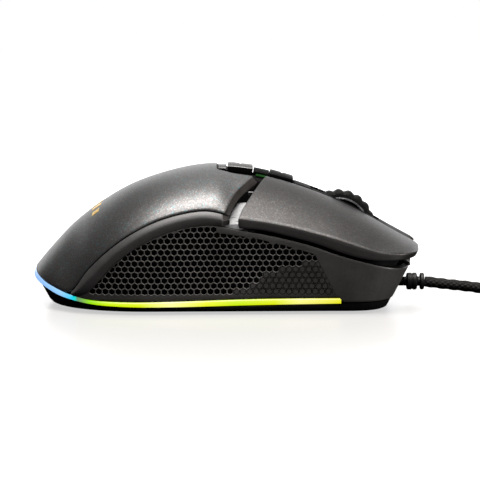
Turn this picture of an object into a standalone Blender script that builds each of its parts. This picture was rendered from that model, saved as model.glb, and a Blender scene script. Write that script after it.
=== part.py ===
"""Wired gaming mouse with honeycomb sides, a light strip and a coiled USB cable.

The mouse faces +Y, its right side is +X, and the table it stands on is z = 0.
Sizes below are in millimetres. MM turns them into Blender's metres.
"""

import math

import bmesh
import bpy
from mathutils import Matrix, Vector

MM = 0.001

# Outer form, millimetres.
REAR_Y = -63.5
BUTTON_TIP_Y = 61.6
CASE_FRONT_Y = 57.5
REAR_ROUND_Y = -25.0
FRONT_ROUND_Y = 30.0
REAR_POWER = 2.3
FRONT_POWER = 4.0
CASE_LEAN = 0.5
CASE_LEAN_Z = 13.7
FORM_BOTTOM_Z = -4.0
REAR_ANGLES = (86, 75, 63, 50, 37, 24, 11)
FRONT_ANGLES = (16, 32, 47, 61, 73, 83)
HALF_WIDTH = ((-63.5, 32.5), (-25.0, 33.5), (10.0, 31.2), (40.0, 31.8), (61.6, 31.5))
CROWN = (
    (-63.5, 12.0), (-58.6, 17.9), (-50.7, 26.2), (-40.1, 34.1), (-29.6, 39.6), (-13.9, 44.2),
    (-1.0, 45.2), (12.2, 43.3), (27.9, 38.3), (41.0, 32.4), (54.2, 24.9), (61.6, 20.8),
)
SHOULDER = (
    (-63.5, 11.0), (-57.0, 7.6), (-50.5, 6.6), (-44.8, 13.8), (-38.6, 19.9), (-32.0, 24.9),
    (-23.9, 29.2), (-15.2, 31.9), (-7.0, 32.8), (2.5, 30.7), (11.0, 29.4), (20.5, 27.5),
    (32.6, 24.3), (40.4, 21.8), (48.2, 19.6), (61.6, 18.6),
)
UNDER = (
    (-63.5, 9.8), (-57.0, 6.4), (-50.5, 5.0), (-44.6, 6.9), (-35.6, 16.5), (-22.9, 24.6),
    (-8.6, 28.2), (2.9, 26.7), (22.7, 22.5), (36.1, 18.1), (48.9, 14.8), (61.6, 13.2),
)

# Seams in the side view.
SEAM_GAP = 0.3
PALM_FRONT = ((-1.6, 32.5), (-0.6, 34.0), (0.9, 36.4), (2.9, 38.7), (5.4, 40.6), (9.0, 43.0))
BUTTON_REAR = ((2.6, 30.4), (3.7, 32.9), (5.3, 35.2), (7.4, 37.9), (9.5, 40.2), (13.5, 43.4))
SKIRT_BOTTOM = (
    (4.0, 27.4), (10.8, 26.6), (18.7, 24.7), (26.7, 22.5), (36.1, 19.2), (43.3, 17.5), (50.4, 17.0),
    (63.0, 17.0),
)
STRIP_TOP = (
    (-63.5, 11.0), (-59.3, 8.6), (-55.9, 7.3), (-52.0, 6.0), (-47.0, 4.8), (-41.0, 4.2), (-25.0, 4.1),
    (6.0, 4.8), (34.7, 5.2),
)
STRIP_BOTTOM = (
    (-63.5, 8.6), (-59.3, 6.9), (-54.2, 5.0), (-47.9, 3.7), (-41.0, 2.9), (-25.0, 2.5), (6.0, 2.9),
    (34.7, 3.5),
)
STRIP_END_Y = 34.7
STRIP_DEPTH = 2.4
CASE_BOTTOM_Z = 3.9
NOSE_HALF = 16.0

# Walls and floor.
SHELL_WALL = 2.0
PANEL_WALL = 1.8
FLOOR_LOW_Z = 0.9
FLOOR_HIGH_Z = 2.5
BASE_REAR_Y = -58.6
BASE_FRONT_Y = 50.6

# Honeycomb of the side panels.
HEX_PITCH = 6.2
HEX_RADIUS = 3.05

# Main buttons.
BUTTON_INNER_X = 7.3
BUTTON_HINGE = (19.0, 6.0, 36.0)
POST_X = 15.0
POST_Y = 45.0
POST_LOW_Z = 16.6

# Centre spine with the two small keys, which stand a little above the shells beside them.
SHELL_DROP = 1.2
SPINE_HALF = 6.9
SPINE_HEAD_HALF = 10.0
SPINE_HEAD_Y = 8.1
SPINE_DROP = 2.4
SPINE_WALL = 1.4
SLOT_HALF = 4.7
KEY_HALF = 4.8
PLUS_SPAN = (-0.9, 7.3)
MINUS_SPAN = (12.9, 20.4)

# Thumb keys in the left brow: name, rear end, front end.
THUMB_KEYS = (("rear", -29.0, -16.6), ("front", -15.4, -3.6))

# Scroll wheel.
WHEEL_Y = 35.3
WHEEL_Z = 24.8
WHEEL_R = 11.9
WHEEL_HALF = 3.9
TREAD_LUMPS = 20
TREAD_DEPTH = 0.8

# Glide feet.
FOOT_HALF = 3.6
FOOT_HIGH = 0.6

# Circuit board.
BOARD_LOW_Z = 6.5
BOARD_HIGH_Z = 8.1
PART_Z = 8.4

# Screw places, (x, y): two in the palm's bosses, two in the inner frame's legs.
REAR_SCREWS = ((-12.0, -36.0), (12.0, -36.0))
FRONT_SCREWS = ((-21.5, 2.0), (21.5, 2.0))
BOARD_RESTS = ((-18.0, 30.0), (18.0, 30.0), (-18.0, -20.0), (18.0, -20.0))

# Cable.
CABLE_D = 3.5
CABLE_ROUTE = (
    (0.0, 63.8, 6.2), (0.0, 67.0, 5.8), (0.0, 71.0, 5.3), (0.2, 76.0, 4.8), (1.2, 81.0, 4.3),
    (4.0, 85.5, 3.6), (8.5, 88.6, 2.9), (14.0, 91.0, 2.4), (19.8, 94.4, 2.2), (24.6, 99.0, 2.4),
    (27.8, 105.0, 2.7), (29.0, 111.5, 2.8), (29.2, 118.0, 2.8),
)
LEAD_ROUTE = (
    (29.2, 121.6, 13.3), (29.8, 126.6, 12.4), (30.8, 132.0, 10.7), (31.4, 138.0, 8.4),
    (30.6, 143.8, 6.4), (28.0, 149.0, 5.1), (23.4, 153.2, 4.4), (17.6, 155.4, 4.2), (12.3, 155.8, 4.2),
)
COIL_CENTRE_Y = 119.0
COIL_RADIUS = 21.0
COIL_COLUMNS = 3
COIL_LAYERS = 4
COIL_PITCH = 3.55
COIL_LOW_Z = 1.0
TIE_ANGLE = math.radians(200)
PLUG_Y = 155.8
PLUG_Z = 4.2
PLUG_FRONT_X = 12.0

COLOURS = {
    "palm_flake": ((0.035, 0.04, 0.045), 0.42, 0.35),
    "case_black": ((0.012, 0.012, 0.013), 0.5, 0.0),
    "panel_grey": ((0.05, 0.053, 0.057), 0.4, 0.1),
    "diffuser": ((0.75, 0.9, 0.35), 0.3, 0.0),
    "frame_white": ((0.75, 0.76, 0.76), 0.5, 0.0),
    "key_black": ((0.01, 0.01, 0.011), 0.35, 0.0),
    "tyre_rubber": ((0.02, 0.02, 0.022), 0.75, 0.0),
    "hub_gloss": ((0.02, 0.026, 0.035), 0.12, 0.2),
    "ring_chrome": ((0.6, 0.62, 0.64), 0.2, 1.0),
    "steel": ((0.55, 0.56, 0.58), 0.3, 1.0),
    "board_green": ((0.01, 0.09, 0.04), 0.45, 0.0),
    "chip_black": ((0.015, 0.015, 0.016), 0.4, 0.0),
    "clear_lens": ((0.8, 0.85, 0.85), 0.05, 0.0),
    "foot_ptfe": ((0.03, 0.03, 0.032), 0.6, 0.0),
    "braid": ((0.012, 0.012, 0.013), 0.8, 0.0),
    "boot_rubber": ((0.012, 0.012, 0.012), 0.6, 0.0),
    "plug_black": ((0.015, 0.015, 0.016), 0.45, 0.0),
    "tongue_dark": ((0.03, 0.035, 0.04), 0.5, 0.0),
    "plunger_white": ((0.8, 0.8, 0.78), 0.4, 0.0),
}


# ---------------------------------------------------------------- scene and materials


def new_scene():
    for old in list(bpy.data.objects):
        bpy.data.objects.remove(old, do_unlink=True)
    mouse = bpy.data.collections.new("computer_mouse")
    cutters = bpy.data.collections.new("cutters")
    bpy.context.scene.collection.children.link(mouse)
    bpy.context.scene.collection.children.link(cutters)
    cutters.hide_render = True
    return mouse, cutters


MOUSE, CUTTERS = new_scene()


def make_material(name):
    colour, roughness, metallic = COLOURS[name]
    material = bpy.data.materials.new(name)
    material.use_nodes = True
    shader = material.node_tree.nodes["Principled BSDF"]
    shader.inputs["Base Color"].default_value = (*colour, 1.0)
    shader.inputs["Roughness"].default_value = roughness
    shader.inputs["Metallic"].default_value = metallic
    return material


MATERIALS = {name: make_material(name) for name in COLOURS}


# ---------------------------------------------------------------- objects from meshes and curves


def add_object(name, data, material):
    """Links data as an object: a part with its material, or a hidden cutter when material is None."""
    obj = bpy.data.objects.new(name, data)
    if material is None:
        CUTTERS.objects.link(obj)
        obj.hide_render = True
        obj.display_type = "WIRE"
        return obj
    MOUSE.objects.link(obj)
    data.materials.append(MATERIALS[material])
    return obj


def from_bmesh(name, mesh, material=None, smooth=True):
    """Turns a bmesh in millimetres into an object in metres."""
    bmesh.ops.scale(mesh, vec=(MM, MM, MM), verts=mesh.verts)
    bmesh.ops.recalc_face_normals(mesh, faces=mesh.faces)
    data = bpy.data.meshes.new(name)
    mesh.to_mesh(data)
    mesh.free()
    if smooth:
        data.shade_smooth()
        data.set_sharp_from_angle(angle=math.radians(35))
    return add_object(name, data, material)


def box(name, low, high, material=None, bevel=0.0):
    """Box between two corners, with optional rounded edges."""
    mesh = bmesh.new()
    size = [b - a for a, b in zip(low, high)]
    middle = [(a + b) / 2 for a, b in zip(low, high)]
    bmesh.ops.create_cube(mesh, size=1.0)
    bmesh.ops.scale(mesh, vec=size, verts=mesh.verts)
    bmesh.ops.translate(mesh, vec=middle, verts=mesh.verts)
    obj = from_bmesh(name, mesh, material, smooth=False)
    if bevel:
        add_bevel(obj, bevel)
    return obj


def cylinder(name, centre, radius, length, axis="Z", material=None, sides=14):
    """Cylinder about an axis, centred on a point."""
    mesh = bmesh.new()
    turn = {
        "X": Matrix.Rotation(math.pi / 2, 4, "Y"),
        "Y": Matrix.Rotation(math.pi / 2, 4, "X"),
        "Z": Matrix.Identity(4),
    }[axis]
    bmesh.ops.create_cone(
        mesh, cap_ends=True, segments=sides, radius1=radius, radius2=radius, depth=length,
        matrix=Matrix.Translation(centre) @ turn,
    )
    return from_bmesh(name, mesh, material)


def prism(name, outline, axis, low, high, material=None):
    """Flat outline extruded along X (outline in y, z), Y (x, z) or Z (x, y)."""
    place = {
        "X": lambda a, b, level: (level, a, b),
        "Y": lambda a, b, level: (a, level, b),
        "Z": lambda a, b, level: (a, b, level),
    }[axis]
    mesh = bmesh.new()
    face = mesh.faces.new([mesh.verts.new(place(a, b, low)) for a, b in outline])
    grown = bmesh.ops.extrude_face_region(mesh, geom=[face])
    moved = [item for item in grown["geom"] if isinstance(item, bmesh.types.BMVert)]
    bmesh.ops.translate(mesh, vec=place(0, 0, high - low), verts=moved)
    return from_bmesh(name, mesh, material)


def loft(name, rings, material=None):
    """Skin over rings with the same number of points, closed by a flat cap at each end."""
    mesh = bmesh.new()
    rows = [[mesh.verts.new(point) for point in ring] for ring in rings]
    count = len(rows[0])
    for row, after in zip(rows, rows[1:]):
        for i in range(count):
            j = (i + 1) % count
            mesh.faces.new((row[i], row[j], after[j], after[i]))
    mesh.faces.new(rows[0])
    mesh.faces.new(rows[-1])
    bmesh.ops.triangulate(mesh, faces=mesh.faces)
    return from_bmesh(name, mesh, material)


def turned(name, profile, place, material, sides=24):
    """Solid turned about its own Z from (radius, height) points listed top to bottom."""
    mesh = bmesh.new()
    points = [mesh.verts.new((radius * MM, 0.0, height * MM)) for radius, height in profile]
    for one, two in zip(points, points[1:]):
        mesh.edges.new((one, two))
    data = bpy.data.meshes.new(name)
    mesh.to_mesh(data)
    mesh.free()
    obj = add_object(name, data, material)
    obj.matrix_world = place
    screw = obj.modifiers.new("turn", "SCREW")
    screw.steps = sides
    screw.render_steps = sides
    screw.use_merge_vertices = True
    screw.merge_threshold = 0.00001
    screw.use_smooth_shade = False
    return obj


def tube(name, points, radius, material):
    """Round tube along points in millimetres, with eight sides and filled caps."""
    curve = bpy.data.curves.new(name, "CURVE")
    curve.dimensions = "3D"
    curve.bevel_depth = radius * MM
    curve.bevel_resolution = 2
    curve.use_fill_caps = True
    spline = curve.splines.new("POLY")
    spline.points.add(len(points) - 1)
    for slot, point in zip(spline.points, points):
        slot.co = (*(Vector(point) * MM), 1.0)
    return add_object(name, curve, material)


def add_bevel(obj, width, segments=1):
    bevel = obj.modifiers.new("rounded", "BEVEL")
    bevel.width = width * MM
    bevel.segments = segments
    bevel.limit_method = "ANGLE"
    bevel.angle_limit = math.radians(40)


def combine(obj, operation, *others):
    """Adds an exact Boolean of obj with each other object."""
    for other in others:
        step = obj.modifiers.new(operation.lower(), "BOOLEAN")
        step.operation = operation
        step.solver = "EXACT"
        step.object = other


def tidy_edges(obj, distance=0.02):
    """Welds the very short edges that Booleans leave where three surfaces meet."""
    weld = obj.modifiers.new("weld", "WELD")
    weld.merge_threshold = distance * MM


def cut(obj, *others):
    combine(obj, "DIFFERENCE", *others)


def keep(obj, *others):
    combine(obj, "INTERSECT", *others)


def join(obj, *others):
    combine(obj, "UNION", *others)


# ---------------------------------------------------------------- curves that shape the form


def read_line(points, y):
    """Value at y of a smooth curve through (y, value) points."""
    ys = [p[0] for p in points]
    vs = [p[1] for p in points]
    if y <= ys[0]:
        return vs[0]
    if y >= ys[-1]:
        return vs[-1]
    i = max(k for k in range(len(ys) - 1) if ys[k] <= y)
    slopes = []
    for k in (i, i + 1):
        before, after = max(k - 1, 0), min(k + 1, len(ys) - 1)
        slopes.append((vs[after] - vs[before]) / (ys[after] - ys[before]))
    span = ys[i + 1] - ys[i]
    t = (y - ys[i]) / span
    return (
        vs[i] * (2 * t**3 - 3 * t**2 + 1)
        + slopes[0] * span * (t**3 - 2 * t**2 + t)
        + vs[i + 1] * (3 * t**2 - 2 * t**3)
        + slopes[1] * span * (t**3 - t**2)
    )


def line_points(points, start, end, count, lift=0.0):
    """Evenly spaced points of a smooth line between two values of y, raised by lift."""
    steps = [start + (end - start) * i / (count - 1) for i in range(count)]
    return [(y, read_line(points, y) + lift) for y in steps]


def ease(value):
    value = min(max(value, 0.0), 1.0)
    return value * value * (3 - 2 * value)


def plan_half(y, front_y):
    """Half width of the form's plan at y: a rounded tail and a squarer nose."""
    half = read_line(HALF_WIDTH, y)
    if y < REAR_ROUND_Y:
        part = (REAR_ROUND_Y - y) / (REAR_ROUND_Y - REAR_Y)
        half *= max(1 - part**REAR_POWER, 0.0) ** (1 / REAR_POWER)
    if y > FRONT_ROUND_Y:
        part = (y - FRONT_ROUND_Y) / (front_y - FRONT_ROUND_Y)
        half *= max(1 - part**FRONT_POWER, 0.0) ** (1 / FRONT_POWER)
    return half


def crown_height(y, drop):
    """Height of the crown at y, lowered by drop from the keys forward."""
    return read_line(CROWN, y) - drop * ease((y + 6) / 8)


def half_section(y, half, crown):
    """Right half of the form's section as (x, z) points from the bottom up to the crown."""
    shoulder = read_line(SHOULDER, y)
    under = read_line(UNDER, y)
    forward = ease((y + 4) / 8)
    ridge = under + (0.55 - 0.33 * forward) * (shoulder - under)
    wide = half / 33.5
    shoulder_x = half - (1.5 - 1.0 * forward) * wide
    under_x = half - (1.0 - 0.5 * forward) * wide
    foot_x = half - 2.4 * wide
    points = [
        (foot_x, FORM_BOTTOM_Z),
        (foot_x, 1.0),
        (under_x - 0.5 * wide, 1.0 + 0.5 * (under - 1.0)),
        (under_x, under),
        (half, ridge),
        (shoulder_x, shoulder),
    ]
    rise = crown - shoulder
    steep = (shoulder_x * (0.93 - 0.15 * forward), shoulder + rise * (0.46 - 0.06 * forward))
    flat = (shoulder_x * 0.5, crown)
    for i in range(1, 9):
        t = i / 9
        points.append(tuple(
            (1 - t) ** 3 * a + 3 * t * (1 - t) ** 2 * b + 3 * t * t * (1 - t) * c + t**3 * d
            for a, b, c, d in zip((shoulder_x, shoulder), steep, flat, (0.0, crown))
        ))
    return points + [(0.0, crown)]


def form_rings(inset, front_y, lean, drop=SHELL_DROP):
    """Rings of the mouse's outer form, moved inwards by inset and leant forward at the nose."""
    rear_reach, front_reach = REAR_ROUND_Y - REAR_Y, front_y - FRONT_ROUND_Y
    stations = [REAR_ROUND_Y - rear_reach * math.sin(math.radians(a)) for a in REAR_ANGLES]
    stations += [REAR_ROUND_Y + (FRONT_ROUND_Y - REAR_ROUND_Y) * i / 8 for i in range(9)]
    stations += [FRONT_ROUND_Y + front_reach * math.sin(math.radians(a)) for a in FRONT_ANGLES]
    middle = (REAR_Y + front_y) / 2
    squeeze = 1 - 2 * inset / (front_y - REAR_Y)
    rings = []
    for y in stations:
        half = plan_half(y, front_y)
        narrow = max(half - inset, 0.3 * half) / half
        crown = crown_height(y, drop)
        lower = (crown - inset - FORM_BOTTOM_Z) / (crown - FORM_BOTTOM_Z)
        section = half_section(y, half, crown)
        right = [(x * narrow, FORM_BOTTOM_Z + (z - FORM_BOTTOM_Z) * lower) for x, z in section]
        outline = right + [(-x, z) for x, z in reversed(right[:-1])]
        slant = lean * ease((y - FRONT_ROUND_Y) / (front_y - FRONT_ROUND_Y))
        place = middle + (y - middle) * squeeze
        rings.append([(x, place + slant * (z - CASE_LEAN_Z), z) for x, z in outline])
    return rings


def plan_ring(z, rear_y, front_y, half, count=56):
    """Closed outline in plan at one height."""
    points = []
    for i in range(count):
        angle = 2 * math.pi * (i + 0.5) / count
        side, along = math.cos(angle), math.sin(angle)
        power = FRONT_POWER if along > 0 else REAR_POWER
        x = half * math.copysign(abs(side) ** (2 / power), side)
        reach = front_y - FRONT_ROUND_Y if along > 0 else REAR_ROUND_Y - rear_y
        start = FRONT_ROUND_Y if along > 0 else REAR_ROUND_Y
        y = start + math.copysign(abs(along) ** (2 / power), along) * reach
        points.append((x * read_line(HALF_WIDTH, y) / 33.5, y, z))
    return points


def circle(radius, count, centre=(0.0, 0.0), phase=0.0):
    turns = [2 * math.pi * (i + phase) / count for i in range(count)]
    return [(centre[0] + radius * math.cos(a), centre[1] + radius * math.sin(a)) for a in turns]


# ---------------------------------------------------------------- shared cutters

OUTER = loft("outer_form", form_rings(0.0, BUTTON_TIP_Y, 0.0))
INNER = loft("inner_form", form_rings(SHELL_WALL, BUTTON_TIP_Y, 0.0))
CASE_OUTER = loft("case_form", form_rings(0.0, CASE_FRONT_Y, CASE_LEAN))
CASE_INNER = loft("case_inner_form", form_rings(PANEL_WALL, CASE_FRONT_Y, CASE_LEAN))
KEY_OUTER = loft("key_form", form_rings(0.0, BUTTON_TIP_Y, 0.0, 0.0))
SPINE_OUTER = loft("spine_form", form_rings(SPINE_DROP, BUTTON_TIP_Y, 0.0, 0.0))
SPINE_INNER = loft("spine_inner_form", form_rings(SPINE_DROP + SPINE_WALL, BUTTON_TIP_Y, 0.0, 0.0))


def form_piece(name, form, material):
    """A part that starts as a copy of one of the forms."""
    return add_object(name, form.data.copy(), material)


# ---------------------------------------------------------------- shells


def palm_cover():
    cover = form_piece("palm_cover", OUTER, "palm_flake")
    outline = line_points(STRIP_TOP, -66.0, -50.4, 15, SEAM_GAP)
    outline += line_points(SHOULDER, -49.2, -3.0, 15, SEAM_GAP / 2)
    outline += PALM_FRONT + ((9.5, 60.0), (-66.0, 60.0))
    region = prism("palm_region", outline, "X", -40.0, 40.0)
    notch_half = SPINE_HEAD_HALF + 0.4
    notch = box("spine_notch", (-notch_half, -4.5, 20.0), (notch_half, 30.0, 60.0))
    cut(cover, INNER)
    keep(cover, region)
    cut(cover, notch)
    for i, (x, y) in enumerate(REAR_SCREWS):
        top = read_line(CROWN, y) - 5.5
        boss = cylinder(f"palm_boss_{i}", (x, y, (8.7 + top) / 2), 3.0, top - 8.7)
        bore = cylinder(f"palm_bore_{i}", (x, y, 13.0), 1.5, 10.0)
        join(cover, boss)
        cut(cover, bore)
    return cover


def honeycomb(name, side):
    """Hexagonal rods through one side wall, in rows that follow the grille's outline."""
    mesh = bmesh.new()
    row_step = HEX_PITCH * math.sqrt(3) / 2
    for row in range(4):
        z = 8.6 + row * row_step
        for column in range(18):
            y = -45.0 + (column + 0.5 * (row % 2)) * HEX_PITCH
            if z + HEX_RADIUS + 0.8 > read_line(UNDER, y) - 0.8 * ease((y + 6) / 6):
                continue
            if y + 0.5 * (z - 6.6) > 31.0 or y < -37.5 + 0.9 * (z - 8.6):
                continue
            ring = [(side * 20.0, y + a, z + b) for a, b in circle(HEX_RADIUS, 6, phase=0.5)]
            face = mesh.faces.new([mesh.verts.new(point) for point in ring])
            grown = bmesh.ops.extrude_face_region(mesh, geom=[face])
            moved = [item for item in grown["geom"] if isinstance(item, bmesh.types.BMVert)]
            bmesh.ops.translate(mesh, vec=(side * 20.0, 0, 0), verts=moved)
    return from_bmesh(name, mesh, smooth=False)


def side_panel(name, side):
    """Side wall with its brow, honeycomb and front corner."""
    panel = form_piece(name, CASE_OUTER, "panel_grey")
    outline = line_points(SHOULDER, -49.0, -3.0, 15, -SEAM_GAP / 2)
    outline += [(-2.2, 31.5), (-2.6, 29.5), (-2.2, 27.0)]
    outline += line_points(UNDER, -1.0, 66.0, 12)
    outline += [(66.0, CASE_BOTTOM_Z), (STRIP_END_Y + SEAM_GAP, CASE_BOTTOM_Z)]
    outline += line_points(STRIP_TOP, STRIP_END_Y + 0.2, -48.8, 22, SEAM_GAP)
    spans = sorted((side * (NOSE_HALF + 0.2), side * 40.0))
    region = prism(name + "_region", outline, "X", *spans)
    cut(panel, CASE_INNER)
    keep(panel, region)
    cut(panel, honeycomb(name + "_holes", side))
    return panel


def front_bezel():
    """Nose below the button tips, with the opening that holds the cable boot."""
    bezel = form_piece("front_bezel", CASE_OUTER, "case_black")
    region = box("bezel_region", (-NOSE_HALF, 40.0, CASE_BOTTOM_Z), (NOSE_HALF, 66.0, 15.2))
    opening = cylinder("boot_opening", (0.0, 55.0, 6.3), 1.9, 20.0, "Y")
    cut(bezel, CASE_INNER)
    keep(bezel, region)
    cut(bezel, opening)
    return bezel


def strip_path():
    """Plan points of the light strip's outer face, from the right end round the tail to the left end."""
    right = []
    for y in (34.7, 29.0, 23.0, 17.0, 11.0, 5.0, -1.0, -7.0, -13.0, -19.0, -25.0):
        right.append((plan_half(y, BUTTON_TIP_Y) - 1.6, y))
    for angle in (14, 28, 42, 55, 66, 76, 84):
        y = REAR_ROUND_Y - (REAR_ROUND_Y - REAR_Y) * math.sin(math.radians(angle))
        right.append((max(plan_half(y, BUTTON_TIP_Y) - 1.6 * math.cos(math.radians(angle)), 0.1), y))
    return right + [(0.0, REAR_Y)] + [(-x, y) for x, y in reversed(right)]


def light_strip():
    path = strip_path()
    rings = []
    for i, (x, y) in enumerate(path):
        before, after = path[max(i - 1, 0)], path[min(i + 1, len(path) - 1)]
        along = Vector((after[0] - before[0], after[1] - before[1])).normalized()
        inward = Vector((-along.y, along.x))
        if inward.dot(Vector((-x, -10.0 - y))) < 0:
            inward = -inward
        back = (x + inward.x * STRIP_DEPTH, y + inward.y * STRIP_DEPTH)
        step = (x + inward.x * 0.4, y + inward.y * 0.4)
        middle = (read_line(STRIP_BOTTOM, y) + read_line(STRIP_TOP, y)) / 2
        rings.append([
            (*step, read_line(STRIP_BOTTOM, step[1])),
            (x, y, middle),
            (*step, read_line(STRIP_TOP, step[1])),
            (*back, read_line(STRIP_TOP, back[1])),
            (*back, read_line(STRIP_BOTTOM, back[1])),
        ])
    return loft("light_strip", rings, "diffuser")


def base_above():
    """Everything above the base: over its outer rim, which stops under the light strip."""
    over_nose = CASE_BOTTOM_Z - SEAM_GAP
    outline = line_points(STRIP_BOTTOM, -66.0, STRIP_END_Y, 26, -SEAM_GAP)
    outline += [(STRIP_END_Y + 0.5, over_nose), (70.0, over_nose), (70.0, 20.0), (-66.0, 20.0)]
    above = prism("above_base", outline, "X", -40.0, 40.0)
    inside = loft("inside_rim", [
        plan_ring(0.0, BASE_REAR_Y + 1.4, BASE_FRONT_Y - 1.4, 28.5),
        plan_ring(20.0, BASE_REAR_Y + 1.4, BASE_FRONT_Y - 1.4, 28.5),
    ])
    cut(above, inside)
    return above


def base_shell():
    """Bottom tray with screw bosses, board rests and the sensor's window."""
    outer = [
        plan_ring(FLOOR_LOW_Z, BASE_REAR_Y, BASE_FRONT_Y, 30.2),
        plan_ring(FLOOR_LOW_Z + 1.0, BASE_REAR_Y - 0.7, BASE_FRONT_Y + 0.5, 31.0),
        plan_ring(8.0, BASE_REAR_Y - 4.2, BASE_FRONT_Y + 3.6, 31.4),
        plan_ring(12.0, BASE_REAR_Y - 6.4, BASE_FRONT_Y + 5.6, 31.4),
    ]
    inner = [
        plan_ring(FLOOR_HIGH_Z, BASE_REAR_Y + 1.4, BASE_FRONT_Y - 1.4, 29.3),
        plan_ring(8.0, BASE_REAR_Y - 2.4, BASE_FRONT_Y + 1.6, 29.6),
        plan_ring(13.0, BASE_REAR_Y - 5.2, BASE_FRONT_Y + 4.0, 29.6),
    ]
    shell = loft("base_shell", outer, "case_black")
    cut(shell, loft("base_hollow", inner))
    for i, (x, y) in enumerate(REAR_SCREWS + FRONT_SCREWS):
        join(shell, cylinder(f"base_boss_{i}", (x, y, 5.2), 3.2, 6.0))
    for i, (x, y) in enumerate(BOARD_RESTS):
        join(shell, cylinder(f"board_rest_{i}", (x, y, 4.1), 1.8, 4.2, sides=12))
    for i, (x, y) in enumerate(REAR_SCREWS + FRONT_SCREWS):
        cut(shell, cylinder(f"screw_bore_{i}", (x, y, 5.0), 1.5, 12.0))
        cut(shell, cylinder(f"screw_head_bore_{i}", (x, y, 1.0), 2.7, 2.4))
    cut(shell, box("lens_window", (-5.0, -6.0, 0.0), (5.0, 4.0, 4.0)))
    cut(shell, box("over_bosses", (-40.0, -70.0, 8.2), (40.0, 70.0, 20.0)))
    cut(shell, base_above())
    return shell


def main_button(name, side):
    button = form_piece(name, OUTER, "palm_flake")
    outline = list(BUTTON_REAR) + [(13.5, 60.0), (70.0, 60.0), (70.0, 17.0)]
    outline += [(y, z) for y, z in reversed(SKIRT_BOTTOM)]
    spans = sorted((side * BUTTON_INNER_X, side * 40.0))
    region = prism(name + "_region", outline, "X", *spans)
    cut(button, INNER)
    keep(button, region)
    x = side * POST_X
    post = box(name + "_post", (x - 1.6, POST_Y - 1.5, POST_LOW_Z), (x + 1.6, POST_Y + 1.5, 26.6))
    join(button, post)
    return button


def centre_spine():
    spine = form_piece("centre_spine", SPINE_OUTER, "key_black")
    right = [
        (SPINE_HALF, 58.5), (SPINE_HALF, SPINE_HEAD_Y), (SPINE_HEAD_HALF, SPINE_HEAD_Y),
        (SPINE_HEAD_HALF, -4.1),
    ]
    region = prism("spine_region", right + [(-x, y) for x, y in reversed(right)], "Z", 16.0, 60.0)
    slot = box("wheel_slot", (-SLOT_HALF, WHEEL_Y - 13.0, 0.0), (SLOT_HALF, WHEEL_Y + 13.0, 60.0))
    keep(spine, region)
    cut(spine, SPINE_INNER)
    cut(spine, slot)
    for label, (start, end) in (("plus", PLUS_SPAN), ("minus", MINUS_SPAN)):
        cut(spine, box(label + "_well", (-3.4, start + 1.4, 20.0), (3.4, end - 1.4, 60.0)))
    return spine


def spine_button(name, span, stem_low):
    """Small key that lies on the spine and reaches its switch through a well."""
    key = form_piece(name, KEY_OUTER, "key_black")
    start, end = span
    middle = (start + end) / 2
    underside = [(y, z - SPINE_DROP + 0.5) for y, z in line_points(CROWN, start, end, 4)]
    region = prism(name + "_region", [(start, 60.0)] + underside + [(end, 60.0)], "X", -KEY_HALF, KEY_HALF)
    keep(key, region)
    stem_high = read_line(CROWN, middle) - 1.0
    join(key, box(name + "_stem", (-1.6, middle - 1.6, stem_low), (1.6, middle + 1.6, stem_high)))
    return key


def side_buttons():
    """Two thumb keys set in the left panel's brow."""
    panel = bpy.data.objects["left_side_panel"]
    for label, start, end in THUMB_KEYS:
        name = f"side_button_{label}"
        key = form_piece(name, OUTER, "key_black")
        slot = line_points(UNDER, start - 0.35, end + 0.35, 6, 0.5)
        slot += list(reversed(line_points(SHOULDER, start - 0.35, end + 0.35, 6, -0.8)))
        body = line_points(UNDER, start, end, 6, 0.85)
        body += list(reversed(line_points(SHOULDER, start, end, 6, -1.15)))
        cut(panel, prism(name + "_window", slot, "X", -40.0, -20.0))
        keep(key, prism(name + "_region", body, "X", -40.0, -24.6))


def inner_frame():
    """White bridge below the gap behind the main buttons, on two legs."""
    frame = box("inner_frame", (-27.0, -2.4, 27.6), (27.0, 9.0, 29.2), "frame_white")
    for side, label in ((1, "right"), (-1, "left")):
        wing = loft(f"{label}_wing", form_rings(3.3, BUTTON_TIP_Y, 0.0))
        wing_inner = loft(f"{label}_wing_inner", form_rings(5.0, BUTTON_TIP_Y, 0.0))
        spans = sorted((side * 12.0, side * 40.0))
        outline = ((-2.2, 26.0), (8.8, 26.0), (8.8, 34.0), (-2.2, 34.0))
        keep(wing, prism(f"{label}_wing_region", outline, "X", *spans))
        cut(wing, wing_inner)
        join(frame, wing)
    for i, (x, y) in enumerate(FRONT_SCREWS):
        join(frame, cylinder(f"frame_leg_{i}", (x, y, 18.4), 3.0, 19.4))
        cut(frame, cylinder(f"frame_bore_{i}", (x, y, 13.0), 1.5, 10.0))
    return frame


# ---------------------------------------------------------------- wheel


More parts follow.
